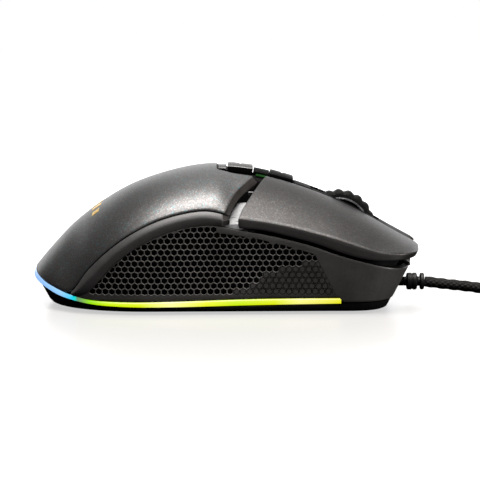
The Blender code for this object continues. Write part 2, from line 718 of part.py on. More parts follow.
def scroll_wheel():
    centre = (0.0, WHEEL_Y, WHEEL_Z)
    outline = []
    for i in range(TREAD_LUMPS):
        for part, dip in ((0.0, 0.0), (0.45, 0.0), (0.6, TREAD_DEPTH), (0.85, TREAD_DEPTH)):
            radius = WHEEL_R - dip
            angle = 2 * math.pi * (i + part) / TREAD_LUMPS
            outline.append((WHEEL_Y + radius * math.cos(angle), WHEEL_Z + radius * math.sin(angle)))
    tyre = prism("wheel_tyre", outline, "X", -WHEEL_HALF, WHEEL_HALF, "tyre_rubber")
    cut(tyre, cylinder("tyre_bore", centre, 9.4, 20.0, "X", sides=30))
    hub = cylinder("wheel_hub", centre, 9.1, 5.2, "X", "hub_gloss", 30)
    cut(hub, cylinder("hub_bore", centre, 1.6, 20.0, "X"))
    for side, label in ((1, "right"), (-1, "left")):
        x = side * 3.6
        ring = cylinder(f"wheel_ring_{label}", (x, WHEEL_Y, WHEEL_Z), 9.0, 1.2, "X", "ring_chrome", 30)
        cut(ring, cylinder(f"ring_bore_{label}", (x, WHEEL_Y, WHEEL_Z), 7.6, 4.0, "X", sides=30))
    cylinder("wheel_axle", centre, 1.25, 15.6, "X", "steel", 16)


def wheel_carrier():
    """Cradle that holds the axle and drops when the wheel is pressed."""
    carrier = box("wheel_carrier", (-6.8, 24.0, 10.7), (6.8, 47.0, 12.2), "frame_white")
    for side, label in ((1, "right"), (-1, "left")):
        low, high = sorted((side * 5.1, side * 6.8))
        join(carrier, box(f"carrier_arm_{label}", (low, 31.4, 11.0), (high, 37.9, 27.0)))
    cut(carrier, cylinder("axle_seat", (0.0, WHEEL_Y, WHEEL_Z), 1.6, 30.0, "X", sides=16))
    spring = [
        (1.5 * math.cos(i * math.pi / 3), 27.5 + 1.5 * math.sin(i * math.pi / 3), 8.7 + 1.4 * i / 15)
        for i in range(16)
    ]
    tube("wheel_return_spring", spring, 0.18, "steel")


# ---------------------------------------------------------------- electronics


def circuit_boards():
    board = loft("main_board", [
        plan_ring(BOARD_LOW_Z, -50.0, 50.0, 26.5, 40),
        plan_ring(BOARD_HIGH_Z, -50.0, 50.0, 26.5, 40),
    ], "board_green")
    for i, (x, y) in enumerate(REAR_SCREWS + FRONT_SCREWS):
        cut(board, cylinder(f"board_hole_{i}", (x, y, 7.0), 3.6, 6.0, sides=16))
    cut(board, box("lens_hole", (-4.6, -5.6, 5.0), (4.6, 3.6, 10.0)))
    box("dpi_board", (-7.5, -3.8, 31.0), (7.5, 23.5, 32.2), "board_green")
    box("side_board", (-23.2, -30.0, 19.0), (-22.0, -5.0, 30.5), "board_green")


def chips():
    box("sensor_chip", (-6.0, -8.0, PART_Z), (6.0, 6.0, PART_Z + 2.4), "chip_black", 0.2)
    lens = box("sensor_lens", (-4.2, -5.2, 3.0), (4.2, 3.2, 8.0), "clear_lens", 0.3)
    join(lens, cylinder("lens_barrel", (0.0, -1.0, 2.6), 3.0, 2.4, sides=24))
    box("controller_chip", (-5.0, -30.0, PART_Z), (5.0, -20.0, PART_Z + 1.4), "chip_black", 0.15)
    box("cable_header", (13.0, 20.0, PART_Z), (24.0, 25.0, PART_Z + 5.0), "plunger_white", 0.3)
    for label, x, y in (("rear", 0.0, -47.0), ("right", 23.0, -8.0), ("left", -23.0, -8.0)):
        low, high = (x - 1.7, y - 1.7, PART_Z), (x + 1.7, y + 1.7, PART_Z + 1.6)
        box(f"strip_led_{label}", low, high, "plunger_white", 0.2)


def switches():
    for side, label in ((1, "right"), (-1, "left")):
        x = side * POST_X
        low, high = (x - 2.9, 36.6, PART_Z), (x + 2.9, 49.4, PART_Z + 6.4)
        body = box(f"{label}_switch", low, high, "chip_black", 0.25)
        cut(body, box(f"{label}_switch_well", (x - 1.8, POST_Y - 0.9, 13.0), (x + 1.8, POST_Y + 0.9, 20.0)))
        low, high = (x - 1.45, POST_Y - 0.55, 14.1), (x + 1.45, POST_Y + 0.55, 16.2)
        box(f"{label}_plunger", low, high, "plunger_white", 0.15)
    box("wheel_switch", (-3.0, 39.0, PART_Z), (3.0, 45.0, PART_Z + 1.5), "chip_black", 0.15)
    plus, minus = sum(PLUS_SPAN) / 2, sum(MINUS_SPAN) / 2
    box("dpi_plus_switch", (-2.6, plus - 2.6, 32.5), (2.6, plus + 2.6, 38.3), "chip_black", 0.2)
    box("dpi_minus_switch", (-2.6, minus - 2.6, 32.5), (2.6, minus + 2.6, 35.7), "chip_black", 0.2)
    for label, y, z in (("rear", -22.8, 25.0), ("front", -9.5, 27.6)):
        box(f"side_switch_{label}", (-23.9, y - 2.4, z - 1.8), (-23.5, y + 2.4, z + 1.8), "chip_black")
    for side, label in ((1, "emitter"), (-1, "receiver")):
        low, high = sorted((side * 8.4, side * 10.4))
        box(f"wheel_{label}", (low, 33.0, PART_Z), (high, 37.6, 21.5), "chip_black", 0.25)


# ---------------------------------------------------------------- feet and fasteners


def oval(radius):
    """Outline round the sensor, a quarter wider than it is long."""
    return [(1.25 * x, y) for x, y in circle(radius, 32, centre=(0.0, -1.0))]


def feet():
    """Two long glides with round ends, and an oval ring round the sensor."""
    for name, y, half_length in (("foot_front", 43.5, 17.0), ("foot_rear", -49.0, 15.0)):
        outline = []
        for x_step, y_step in circle(FOOT_HALF, 24, phase=0.5):
            outline.append((x_step + math.copysign(half_length - FOOT_HALF, x_step), y + y_step))
        prism(name, outline, "Z", 0.0, FOOT_HIGH, "foot_ptfe")
    ring = prism("foot_ring", oval(9.4), "Z", 0.0, FOOT_HIGH, "foot_ptfe")
    cut(ring, prism("foot_ring_hole", oval(7.0), "Z", -1.0, 2.0))


def screws():
    profile = ((0.0, 14.0), (0.9, 13.4), (1.15, 12.6), (1.15, 1.9), (2.3, 1.8), (2.3, 1.1), (0.0, 1.1))
    places = REAR_SCREWS + FRONT_SCREWS
    for i, (x, y) in enumerate(places):
        turned(f"case_screw_{i + 1}", profile, Matrix.Translation((x * MM, y * MM, 0.0)), "steel", 10)


# ---------------------------------------------------------------- cable


def smooth_route(points, step):
    """Points about a step apart on a smooth curve through the route's points."""
    ends = [Vector(p) for p in points]
    padded = [ends[0] * 2 - ends[1]] + ends + [ends[-1] * 2 - ends[-2]]
    path = [ends[0]]
    for a, b, c, d in zip(padded, padded[1:], padded[2:], padded[3:]):
        pieces = max(1, round((c - b).length / step))
        for i in range(1, pieces + 1):
            t = i / pieces
            bend = (2 * a - 5 * b + 4 * c - d) * t**2 + (3 * b - a - 3 * c + d) * t**3
            path.append(0.5 * (2 * b + (c - a) * t + bend))
    return path


def cable():
    tube("cable", smooth_route(CABLE_ROUTE, 5.0), CABLE_D / 2, "braid")
    tube("cable_lead", smooth_route(LEAD_ROUTE, 5.0), CABLE_D / 2, "braid")
    half_wide = COIL_COLUMNS * COIL_PITCH / 2
    high = COIL_LOW_Z + COIL_LAYERS * COIL_PITCH
    inner, outer = COIL_RADIUS - half_wide, COIL_RADIUS + half_wide
    low = COIL_LOW_Z
    profile = (
        (inner, high - 1.0), (inner + 1.0, high), (outer - 1.0, high), (outer, high - 1.0),
        (outer, low + 1.0), (outer - 1.0, low), (inner + 1.0, low), (inner, low + 1.0), (inner, high - 1.0),
    )
    place = Matrix.Translation((0.0, COIL_CENTRE_Y * MM, 0.0))
    turned("cable_coil", profile, place, "braid", 32)
    middle = COIL_RADIUS * math.cos(TIE_ANGLE), COIL_RADIUS * math.sin(TIE_ANGLE)
    reach = half_wide + 1.2
    tie = box("cable_tie", (-reach, -3.0, 0.05), (reach, 3.0, high + 1.0), "boot_rubber")
    hollow = box("tie_hollow", (0.6 - reach, -6.0, 0.65), (reach - 0.6, 6.0, high + 0.4))
    turn = Matrix.Translation((middle[0] * MM, (COIL_CENTRE_Y + middle[1]) * MM, 0.0))
    turn = turn @ Matrix.Rotation(TIE_ANGLE, 4, "Z")
    tie.matrix_world = turn
    hollow.matrix_world = turn
    cut(tie, hollow)


def strain_relief():
    """Stepped rubber boot held by the nose's opening."""
    steps = (
        (0.0, 63.5), (2.75, 63.5), (2.75, 62.3), (1.55, 62.2), (1.55, 61.2), (2.8, 61.1), (2.8, 57.8),
        (1.5, 57.7), (1.5, 50.3), (0.0, 50.3),
    )
    turned_round = Matrix.Translation((0.0, 0.0, 6.3 * MM)) @ Matrix.Rotation(-math.pi / 2, 4, "X")
    turned("strain_relief", steps, turned_round, "boot_rubber", 16)


def usb_plug():
    """Grip, metal shell and contact carrier, in line along X with the cable entering at +X."""

    def block(name, start, end, half_wide, low, high, material=None):
        corner = (PLUG_FRONT_X - end, PLUG_Y - half_wide, PLUG_Z + low)
        return box(name, corner, (PLUG_FRONT_X - start, PLUG_Y + half_wide, PLUG_Z + high), material)

    grip = block("plug_grip", 0.0, 28.0, 7.8, -4.0, 4.0, "plug_black")
    add_bevel(grip, 1.6, 2)
    cut(grip, block("grip_socket", 25.0, 29.0, 6.3, -2.55, 2.55))
    shell = block("plug_shell", 25.4, 40.0, 6.0, -2.25, 2.25, "steel")
    cut(shell, block("shell_hollow", 26.4, 41.0, 5.6, -1.85, 1.85))
    block("plug_tongue", 26.8, 39.4, 5.2, -0.1, 1.5, "tongue_dark")


# ---------------------------------------------------------------- joint axes


def hang_on_axis(label, place, *names):
    """Parents moving parts to an empty that stands on their joint's axis."""
    axis = bpy.data.objects.new(label + "_axis", None)
    axis.location = Vector(place) * MM
    MOUSE.objects.link(axis)
    for name in names:
        part = bpy.data.objects[name]
        part.parent = axis
        part.matrix_parent_inverse = Matrix.Translation(-axis.location)


def joint_axes():
    hinge_x, hinge_y, hinge_z = BUTTON_HINGE
    for side, label in ((1, "right"), (-1, "left")):
        hang_on_axis(f"{label}_button", (side * hinge_x, hinge_y, hinge_z), f"{label}_main_button")
        hang_on_axis(f"{label}_plunger", (side * POST_X, POST_Y, 15.0), f"{label}_plunger")
    wheel = ("wheel_tyre", "wheel_hub", "wheel_ring_right", "wheel_ring_left", "wheel_axle")
    hang_on_axis("wheel", (0.0, WHEEL_Y, WHEEL_Z), *wheel)
    hang_on_axis("wheel_cradle", (0.0, WHEEL_Y, 11.0), "wheel_carrier")
    for label, span in (("plus", PLUS_SPAN), ("minus", MINUS_SPAN)):
        middle = sum(span) / 2
        hang_on_axis(f"dpi_{label}", (0.0, middle, read_line(CROWN, middle)), f"dpi_{label}_button")
    for label, start, end in THUMB_KEYS:
        middle = (start + end) / 2
        level = (read_line(UNDER, middle) + read_line(SHOULDER, middle)) / 2
        hang_on_axis(f"thumb_{label}", (-30.0, middle, level), f"side_button_{label}")


# ---------------------------------------------------------------- build

palm_cover()
side_panel("right_side_panel", 1)
side_panel("left_side_panel", -1)
front_bezel()
light_strip()
base_shell()
main_button("right_main_button", 1)
main_button("left_main_button", -1)
centre_spine()
spine_button("dpi_plus_button", PLUS_SPAN, 38.9)
spine_button("dpi_minus_button", MINUS_SPAN, 36.3)
side_buttons()
inner_frame()
scroll_wheel()
wheel_carrier()
circuit_boards()
chips()
switches()
feet()
screws()
cable()
strain_relief()
usb_plug()
joint_axes()
for name in (
    "palm_cover", "right_side_panel", "left_side_panel", "right_main_button", "left_main_button",
    "centre_spine", "inner_frame", "plug_grip",
):
    tidy_edges(bpy.data.objects[name])
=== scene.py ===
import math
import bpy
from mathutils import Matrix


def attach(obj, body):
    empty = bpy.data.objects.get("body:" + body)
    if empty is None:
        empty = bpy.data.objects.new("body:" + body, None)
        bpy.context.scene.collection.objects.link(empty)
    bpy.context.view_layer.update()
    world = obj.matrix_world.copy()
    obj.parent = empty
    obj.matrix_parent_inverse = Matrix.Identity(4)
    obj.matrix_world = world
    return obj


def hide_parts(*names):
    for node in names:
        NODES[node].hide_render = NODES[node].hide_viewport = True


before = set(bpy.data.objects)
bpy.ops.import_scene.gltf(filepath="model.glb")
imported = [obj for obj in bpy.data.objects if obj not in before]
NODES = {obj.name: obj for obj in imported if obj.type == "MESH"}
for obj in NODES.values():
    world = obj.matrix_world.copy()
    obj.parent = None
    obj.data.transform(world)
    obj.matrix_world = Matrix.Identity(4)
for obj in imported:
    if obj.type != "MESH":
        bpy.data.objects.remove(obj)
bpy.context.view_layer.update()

# Looks of a wired gaming mouse: fine shells, honeycomb walls, a lit strip and a braided cable.
# The mouse faces +Y, its right side is +X and the table is z = 0. Sizes are in millimetres, and
# MM turns them into Blender's metres.

from types import SimpleNamespace

import bmesh
import bpy
import numpy as np
from mathutils import Matrix, Vector

MM = 0.001

# ---------------------------------------------------------------- sizes of the form

REAR_Y = -63.5
BUTTON_TIP_Y = 61.6
CASE_FRONT_Y = 57.5
REAR_ROUND_Y = -25.0
FRONT_ROUND_Y = 30.0
REAR_POWER = 2.3
FRONT_POWER = 4.0
CASE_LEAN = 0.5
CASE_LEAN_Z = 13.7
WIDEST_HALF = 33.5
HALF_WIDTH = ((-63.5, 32.5), (-25.0, 33.5), (10.0, 31.2), (40.0, 31.8), (61.6, 31.5))
CROWN = (
    (-63.5, 12.0), (-58.6, 17.9), (-50.7, 26.2), (-40.1, 34.1), (-29.6, 39.6), (-13.9, 44.2),
    (-1.0, 45.2), (12.2, 43.3), (27.9, 38.3), (41.0, 32.4), (54.2, 24.9), (61.6, 20.8),
)
SHOULDER = (
    (-63.5, 11.0), (-57.0, 7.6), (-50.5, 6.6), (-44.8, 13.8), (-38.6, 19.9), (-32.0, 24.9),
    (-23.9, 29.2), (-15.2, 31.9), (-7.0, 32.8), (2.5, 30.7), (11.0, 29.4), (20.5, 27.5),
    (32.6, 24.3), (40.4, 21.8), (48.2, 19.6), (61.6, 18.6),
)
UNDER = (
    (-63.5, 9.8), (-57.0, 6.4), (-50.5, 5.0), (-44.6, 6.9), (-35.6, 16.5), (-22.9, 24.6),
    (-8.6, 28.2), (2.9, 26.7), (22.7, 22.5), (36.1, 18.1), (48.9, 14.8), (61.6, 13.2),
)
PALM_FRONT = ((-1.6, 32.5), (-0.6, 34.0), (0.9, 36.4), (2.9, 38.7), (5.4, 40.6), (9.0, 43.0))
BUTTON_REAR = (
    (2.7, 27.4), (2.6, 30.4), (3.7, 32.9), (5.3, 35.2), (7.4, 37.9), (9.5, 40.2), (13.5, 43.4),
)
SKIRT_BOTTOM = (
    (4.0, 27.4), (10.8, 26.6), (18.7, 24.7), (26.7, 22.5), (36.1, 19.2), (43.3, 17.5), (50.4, 17.0),
    (63.0, 17.0),
)
STRIP_TOP = (
    (-63.5, 11.0), (-59.3, 8.6), (-55.9, 7.3), (-52.0, 6.0), (-47.0, 4.8), (-41.0, 4.2), (-25.0, 4.1),
    (6.0, 4.8), (34.7, 5.2),
)
STRIP_BOTTOM = (
    (-63.5, 8.6), (-59.3, 6.9), (-54.2, 5.0), (-47.9, 3.7), (-41.0, 2.9), (-25.0, 2.5), (6.0, 2.9),
    (34.7, 3.5),
)
STRIP_END_Y = 34.7
STRIP_PROUD = 0.7
STRIP_FACE = (
    (2.4, 0.0), (0.55, 0.0), (0.2, 0.08), (0.04, 0.3), (0.0, 0.5), (0.04, 0.7), (0.2, 0.92), (0.55, 1.0),
    (2.4, 1.0),
)
CASE_BOTTOM_Z = 3.9
NOSE_HALF = 16.0
NOSE_TOP_Z = 14.6
BOOT_Z = 6.3
SEAM_GAP = 0.3
GOLD_Y = -43.4
BASE_REAR_Y = -58.6
BASE_FRONT_Y = 50.6
FLOOR_LOW_Z = 0.9
SCREWS = ((-12.0, -36.0), (12.0, -36.0), (-21.5, 2.0), (21.5, 2.0))

# Honeycomb.
HEX_PITCH = 2.05
HEX_ROW = 1.78
HEX_LOW_Z = 7.3
HEX_FRONT_Y = 30.7
HEX_APOTHEM = 0.86
HEX_LEAST_AREA = 0.25 * 3.46 * HEX_APOTHEM**2
BLIND_REACH = 1.6
GRILLE_TOP = (
    (-44.9, 6.4), (-40.5, 11.0), (-35.6, 16.2), (-31.4, 19.8), (-27.6, 22.0), (-22.9, 24.3),
    (-18.1, 26.1), (-13.4, 27.3), (-8.6, 28.0), (-3.6, 28.2), (-3.4, 25.8), (6.8, 24.4),
    (16.8, 22.0), (26.3, 19.2), (33.0, 6.4),
)
OPEN_LIMIT = (
    (5.0, -4.0), (7.0, -1.0), (8.8, 4.3), (10.6, 6.4), (12.6, 8.7), (14.3, 13.3), (16.2, 20.3),
    (17.6, 34.0),
)

# Buttons, spine and wheel.
SHELL_DROP = 1.2
BUTTON_INNER_X = 7.3
SPINE_HALF = 6.9
SPINE_HEAD_HALF = 10.0
SPINE_HEAD_Y = 8.1
SPINE_DROP = 2.4
KEY_HALF = 4.8
KEY_BOW = 0.75
KEYS = (("plus", -0.9, 7.3, 0.45), ("minus", 12.9, 20.4, 0.15))
KEY_GAP = 0.35
BROW_REAR_Y = -50.2
BROW_FRONT_Y = -2.2
THUMB_KEYS = (("rear", -29.0, -16.6), ("front", -15.4, -3.6))
WHEEL_Y = 35.3
WHEEL_Z = 24.8
WHEEL_R = 11.9
TREAD_LUMPS = 20
SLOT_HALF = 4.7

# Cable.
CABLE_D = 3.5
CABLE_ROUTE = (
    (0.0, 63.8, 6.2), (0.0, 67.0, 5.8), (0.0, 71.0, 5.3), (0.2, 76.0, 4.8), (1.2, 81.0, 4.3),
    (4.0, 85.5, 3.6), (8.5, 88.6, 2.9), (14.0, 91.0, 2.4), (19.8, 94.4, 2.2), (24.6, 99.0, 2.4),
    (27.8, 105.0, 2.7), (29.0, 111.5, 2.8),
)
LEAD_ROUTE = (
    (29.8, 126.6, 12.4), (30.8, 132.0, 10.7), (31.4, 138.0, 8.4), (30.6, 143.8, 6.4),
    (28.0, 149.0, 5.1), (23.4, 153.2, 4.4), (17.6, 155.4, 4.2), (12.3, 155.8, 4.2),
)
COIL_CENTRE_Y = 119.0
COIL_RADIUS = 21.0
COIL_COLUMNS = 3
COIL_LAYERS = 4
COIL_PITCH = 3.55
COIL_LOW_Z = 1.0
COIL_TURN_STEPS = 72
TIE_ANGLE = math.radians(200)
CORNERS = ((1, 1, 0), (-1, 1, 90), (-1, -1, 180), (1, -1, 270))
PLUG_Y = 155.8
PLUG_Z = 4.2
PLUG_FRONT_X = 12.0


# ---------------------------------------------------------------- camera, floor and light


def camera():
    """Level side view from the mouse's right, seven degrees above the table."""
    data = bpy.data.cameras.new("camera")
    data.lens = 137.25
    data.sensor_width = 36.0
    eye = bpy.data.objects.new("camera", data)
    back = Vector((math.cos(math.radians(7)), 0.0, math.sin(math.radians(7))))
    eye.location = (Vector((0.0, 3.07, 19.9)) + back * 600) * MM
    eye.rotation_mode = "QUATERNION"
    eye.rotation_quaternion = (-back).to_track_quat("-Z", "Y")
    bpy.context.scene.collection.objects.link(eye)
    bpy.context.scene.camera = eye


def area_light(name, place, target, size, power, colour=(1.0, 1.0, 1.0)):
    data = bpy.data.lights.new(name, "AREA")
    data.shape = "RECTANGLE"
    data.size, data.size_y = size
    data.energy = power
    data.color = colour
    lamp = bpy.data.objects.new(name, data)
    lamp.location = place
    lamp.rotation_mode = "QUATERNION"
    lamp.rotation_quaternion = (Vector(target) - Vector(place)).to_track_quat("-Z", "Y")
    bpy.context.scene.collection.objects.link(lamp)


def only_seen(tree, lighting, seen, target):
    """Shows one shader to the camera and leaves the other, dimmer one to light the mouse."""
    path = tree.nodes.new("ShaderNodeLightPath")
    mix = tree.nodes.new("ShaderNodeMixShader")
    tree.links.new(path.outputs["Is Camera Ray"], mix.inputs["Fac"])
    tree.links.new(lighting, mix.inputs[1])
    tree.links.new(seen, mix.inputs[2])
    tree.links.new(mix.outputs[0], target)


def studio():
    """White backdrop, a softbox over the mouse and weak ones in front of it and behind it."""
    world = bpy.data.worlds.new("studio")
    bpy.context.scene.world = world
    world.use_nodes = True
    tree = world.node_tree
    backdrop = tree.nodes["Background"]
    backdrop.inputs["Color"].default_value = (1.0, 1.0, 1.0, 1.0)
    backdrop.inputs["Strength"].default_value = 1.0
    dim = tree.nodes.new("ShaderNodeBackground")
    dim.inputs["Color"].default_value = (0.95, 0.97, 1.0, 1.0)
    dim.inputs["Strength"].default_value = 0.02
    only_seen(tree, dim.outputs[0], backdrop.outputs[0], tree.nodes["World Output"].inputs["Surface"])
    warm = (1.0, 0.965, 0.94)
    area_light("softbox_top", (0.14, -0.01, 0.56), (0.0, 0.0, 0.02), (0.44, 0.44), 10.2, warm)
    area_light("softbox_over_back", (-0.32, 0.05, 0.5), (0.0, 0.0, 0.03), (0.5, 0.7), 0.9)
    area_light("softbox_front", (0.22, 0.55, 0.16), (0.0, 0.05, 0.02), (0.2, 0.3), 3.6, warm)
    area_light("softbox_back", (-0.7, 0.0, 0.14), (0.0, 0.0, 0.04), (1.4, 0.4), 3.3)
    view = bpy.context.scene.view_settings
    view.view_transform = "Standard"


def table_top():
    mesh = bmesh.new()
    bmesh.ops.create_grid(mesh, x_segments=1, y_segments=1, size=4.0)
    data = bpy.data.meshes.new("table_top")
    mesh.to_mesh(data)
    mesh.free()
    top = bpy.data.objects.new("table_top", data)
    bpy.context.scene.collection.objects.link(top)
    look = Look("table_white", (0.13, 0.126, 0.12), 0.35)
    look.set("Emission Color", (1.0, 1.0, 1.0))
    far = look.node("ShaderNodeVectorMath", {0: look.place}, operation="LENGTH").outputs["Value"]
    span = {"From Min": 0.06, "From Max": 0.3, "To Min": 0.56, "To Max": 1.1}
    look.set("Emission Strength", look.node("ShaderNodeMapRange", {"Value": far, **span}).outputs["Result"])
    dull = look.node("ShaderNodeBsdfDiffuse", {"Color": (0.012, 0.012, 0.012)})
    surface = look.tree.nodes["Material Output"].inputs["Surface"]
    only_seen(look.tree, dull.outputs[0], look.shader.outputs[0], surface)
    data.materials.append(look.material)


# ---------------------------------------------------------------- materials


class Look:
    """Principled material whose node setup is built up by short calls."""

    def __init__(self, name, colour, roughness, metallic=0.0):
        self.material = bpy.data.materials.new(name)
        self.material.use_nodes = True
        self.tree = self.material.node_tree
        self.shader = self.tree.nodes["Principled BSDF"]
        self.set("Base Color", colour)
        self.set("Roughness", roughness)
        self.set("Metallic", metallic)
        self.place = self.node("ShaderNodeTexCoord").outputs["Object"]
        self.height = None

    def feed(self, socket, value):
        """Links a socket's value, or sets a constant on it."""
        if isinstance(value, bpy.types.NodeSocket):
            self.tree.links.new(value, socket)
        elif socket.type == "RGBA" and len(value) == 3:
            socket.default_value = (*value, 1.0)
        else:
            socket.default_value = value

    def node(self, kind, inputs=None, **settings):
        made = self.tree.nodes.new(kind)
        for name, value in settings.items():
            setattr(made, name, value)
        for name, value in (inputs or {}).items():
            self.feed(made.inputs[name], value)
        return made

    def set(self, name, value):
        self.feed(self.shader.inputs[name], value)

    def stretched(self, scale):
        return self.node("ShaderNodeMapping", {"Vector": self.place, "Scale": scale}).outputs[0]

    def noise(self, scale, detail=3.0, vector=None):
        inputs = {"Vector": vector or self.place, "Scale": scale, "Detail": detail}
        return self.node("ShaderNodeTexNoise", inputs).outputs["Fac"]

    def cells(self, scale, output="Distance", feature="F1"):
        inputs = {"Vector": self.place, "Scale": scale}
        return self.node("ShaderNodeTexVoronoi", inputs, feature=feature).outputs[output]

    def math(self, operation, *values):
        return self.node("ShaderNodeMath", dict(enumerate(values)), operation=operation).outputs[0]

    def ramp(self, factor, stops, smooth=True):
        made = self.node("ShaderNodeValToRGB", {"Fac": factor})
        ramp = made.color_ramp
        ramp.interpolation = "EASE" if smooth else "LINEAR"
        while len(ramp.elements) < len(stops):
            ramp.elements.new(0.5)
        for element, (place, colour) in zip(ramp.elements, stops):
            element.position = place
            element.color = (*colour, 1.0) if isinstance(colour, tuple) else (colour, colour, colour, 1.0)
        return made.outputs["Color"]

    def blend(self, factor, one, two, kind="MIX"):
        inputs = {0: factor, 6: one, 7: two}
        return self.node("ShaderNodeMix", inputs, data_type="RGBA", blend_type=kind).outputs[2]

    def bump(self, height, distance_mm, strength=1.0):
        inputs = {"Height": height, "Distance": distance_mm * MM, "Strength": strength}
        if self.height is not None:
            inputs["Normal"] = self.height
        self.height = self.node("ShaderNodeBump", inputs).outputs["Normal"]
        self.set("Normal", self.height)


def shade(colour, amount):
    return tuple(min(c * amount, 1.0) for c in colour)


def moulded(name, colour, roughness, grain=1600.0, depth=0.02, metallic=0.0, vary=0.25, coat=0.0, gleam=0.5):
    """Moulded plastic or rubber: fine grain, faint patches of tone and uneven gloss."""
    look = Look(name, colour, roughness, metallic)
    patches = look.noise(60.0, 4.0)
    fine = look.noise(grain, 3.0)
    tone = look.ramp(patches, ((0.3, shade(colour, 1 - vary)), (0.7, shade(colour, 1 + vary))))
    speck = look.ramp(fine, ((0.35, 0.82), (0.65, 1.0)))
    look.set("Base Color", look.blend(1.0, tone, speck, "MULTIPLY"))
    gloss = look.math("MULTIPLY_ADD", look.noise(240.0, 2.0), 0.16, roughness - 0.08)
    look.set("Roughness", gloss)
    look.set("Coat Weight", coat)
    look.set("Specular IOR Level", gleam)
    look.bump(fine, depth, 0.6)
    return look.material


def flake_plastic(name, dark, roughness, glint):
    """Charcoal plastic with metallic flakes and scattered blue-green glints."""
    look = Look(name, dark, roughness, 0.4)
    flakes = look.node("ShaderNodeSeparateColor", {"Color": look.cells(3200.0, "Color")})
    level, turn = flakes.outputs[0], flakes.outputs[1]
    stops = [(place, shade(dark, tone)) for place, tone in ((0.0, 0.72), (0.6, 1.0), (0.9, 1.3), (1.0, 1.8))]
    body = look.ramp(level, stops, False)
    teal = look.ramp(turn, ((0.93, 0.0), (0.97, glint)), False)
    colour = look.blend(teal, body, (0.03, 0.2, 0.24))
    soft = look.ramp(look.noise(40.0, 3.0), ((0.3, 0.92), (0.7, 1.06)))
    look.set("Base Color", look.blend(1.0, colour, soft, "MULTIPLY"))
    look.set("Metallic", look.math("MULTIPLY_ADD", level, 0.15, 0.78))
    look.set("Roughness", look.math("MULTIPLY_ADD", turn, 0.1, roughness - 0.05))
    look.bump(level, 0.004, 0.45)
    look.bump(look.noise(2100.0, 2.0), 0.008, 0.4)
    return look.material


def brushed_metal(name, colour, roughness, stretch=(40.0, 1800.0, 1800.0)):
    """Drawn or rolled metal with fine lines along X."""
    look = Look(name, colour, roughness, 1.0)
    lines = look.noise(1.0, 4.0, look.stretched(stretch))
    look.set("Base Color", look.ramp(lines, ((0.3, shade(colour, 0.8)), (0.7, shade(colour, 1.1)))))
    look.set("Roughness", look.math("MULTIPLY_ADD", lines, 0.22, roughness - 0.11))
    look.bump(lines, 0.004, 0.5)
    return look.material


def lit_strip():
    """Light guide: pale blue at the tail, a dark gap, then green into yellow with two hot places."""
    look = Look("strip_lit", (0.05, 0.06, 0.04), 0.3)
    along = look.node("ShaderNodeSeparateXYZ", {"Vector": look.place}).outputs["Y"]
    length = STRIP_END_Y - REAR_Y

    def at(y):
        return (y - REAR_Y) / length

    span = {"From Min": REAR_Y * MM, "From Max": STRIP_END_Y * MM}
    part = look.node("ShaderNodeMapRange", {"Value": along, **span}).outputs["Result"]
    colour = look.ramp(part, (
        (at(-63.5), (0.3, 0.5, 1.0)), (at(-58.0), (0.28, 0.56, 1.0)), (at(-53.5), (0.3, 0.62, 1.0)),
        (at(-50.0), (0.02, 0.62, 0.95)), (at(-48.7), (0.0, 0.75, 0.6)), (at(-48.3), (0.12, 0.3, 0.2)),
        (at(-46.6), (0.2, 0.42, 0.09)), (at(-44.0), (0.3, 0.75, 0.0)), (at(-39.0), (0.6, 0.9, 0.0)),
        (at(-28.0), (0.75, 0.88, 0.0)), (at(-18.5), (1.0, 1.0, 0.35)), (at(-8.0), (0.85, 0.9, 0.02)),
        (at(2.0), (0.6, 0.85, 0.0)), (at(14.0), (0.75, 0.85, 0.0)), (at(22.0), (1.0, 0.95, 0.25)),
        (at(34.7), (0.8, 0.78, 0.0)),
    ), False)
    look.set("Emission Color", colour)
    look.set("Emission Strength", look.math("MULTIPLY_ADD", look.noise(90.0, 1.0), 0.1, 0.95))
    look.bump(look.noise(900.0), 0.01, 0.4)
    return look.material


def green_glow():
    """Faint green light through a small window."""
    look = Look("green_glow", (0.002, 0.004, 0.002), 0.5)
    look.set("Specular IOR Level", 0.02)
    glow = look.ramp(look.noise(160.0, 2.0), ((0.35, (0.0, 0.012, 0.0)), (0.7, (0.006, 0.09, 0.004))))
    look.set("Emission Color", glow)
    look.set("Emission Strength", 0.7)
    look.bump(look.noise(900.0), 0.01, 0.4)
    return look.material


def braid():
    """Tight two-way braid laid round and along the cable by its own UV map."""
    look = Look("braid_black", (0.012, 0.012, 0.012), 0.62)
    uv = look.node("ShaderNodeUVMap", uv_map="lay").outputs["UV"]
    strands = look.node("ShaderNodeMapping", {"Vector": uv, "Scale": (60.0, 9.0, 1.0)}).outputs[0]
    fine = look.noise(3.0, 3.0, strands)
    split = look.node("ShaderNodeSeparateXYZ", {"Vector": uv})
    turn = look.math("MULTIPLY", split.outputs["X"], 4 * math.tau)
    run = look.math("MULTIPLY", split.outputs["Y"], math.tau)
    one = look.math("SINE", look.math("ADD", turn, run))
    two = look.math("SINE", look.math("SUBTRACT", turn, run))
    weave = look.math("ABSOLUTE", look.math("MULTIPLY", one, two))
    tone = look.ramp(weave, ((0.0, (0.002, 0.002, 0.002)), (0.8, (0.013, 0.012, 0.011))))
    look.set("Base Color", look.blend(0.5, tone, look.ramp(fine, ((0.3, 0.3), (0.7, 1.0))), "MULTIPLY"))
    look.set("Specular IOR Level", 0.12)
    look.set("Roughness", look.math("MULTIPLY_ADD", fine, 0.2, 0.5))
    look.bump(weave, 0.25, 0.7)
    look.bump(fine, 0.03, 0.6)
    return look.material


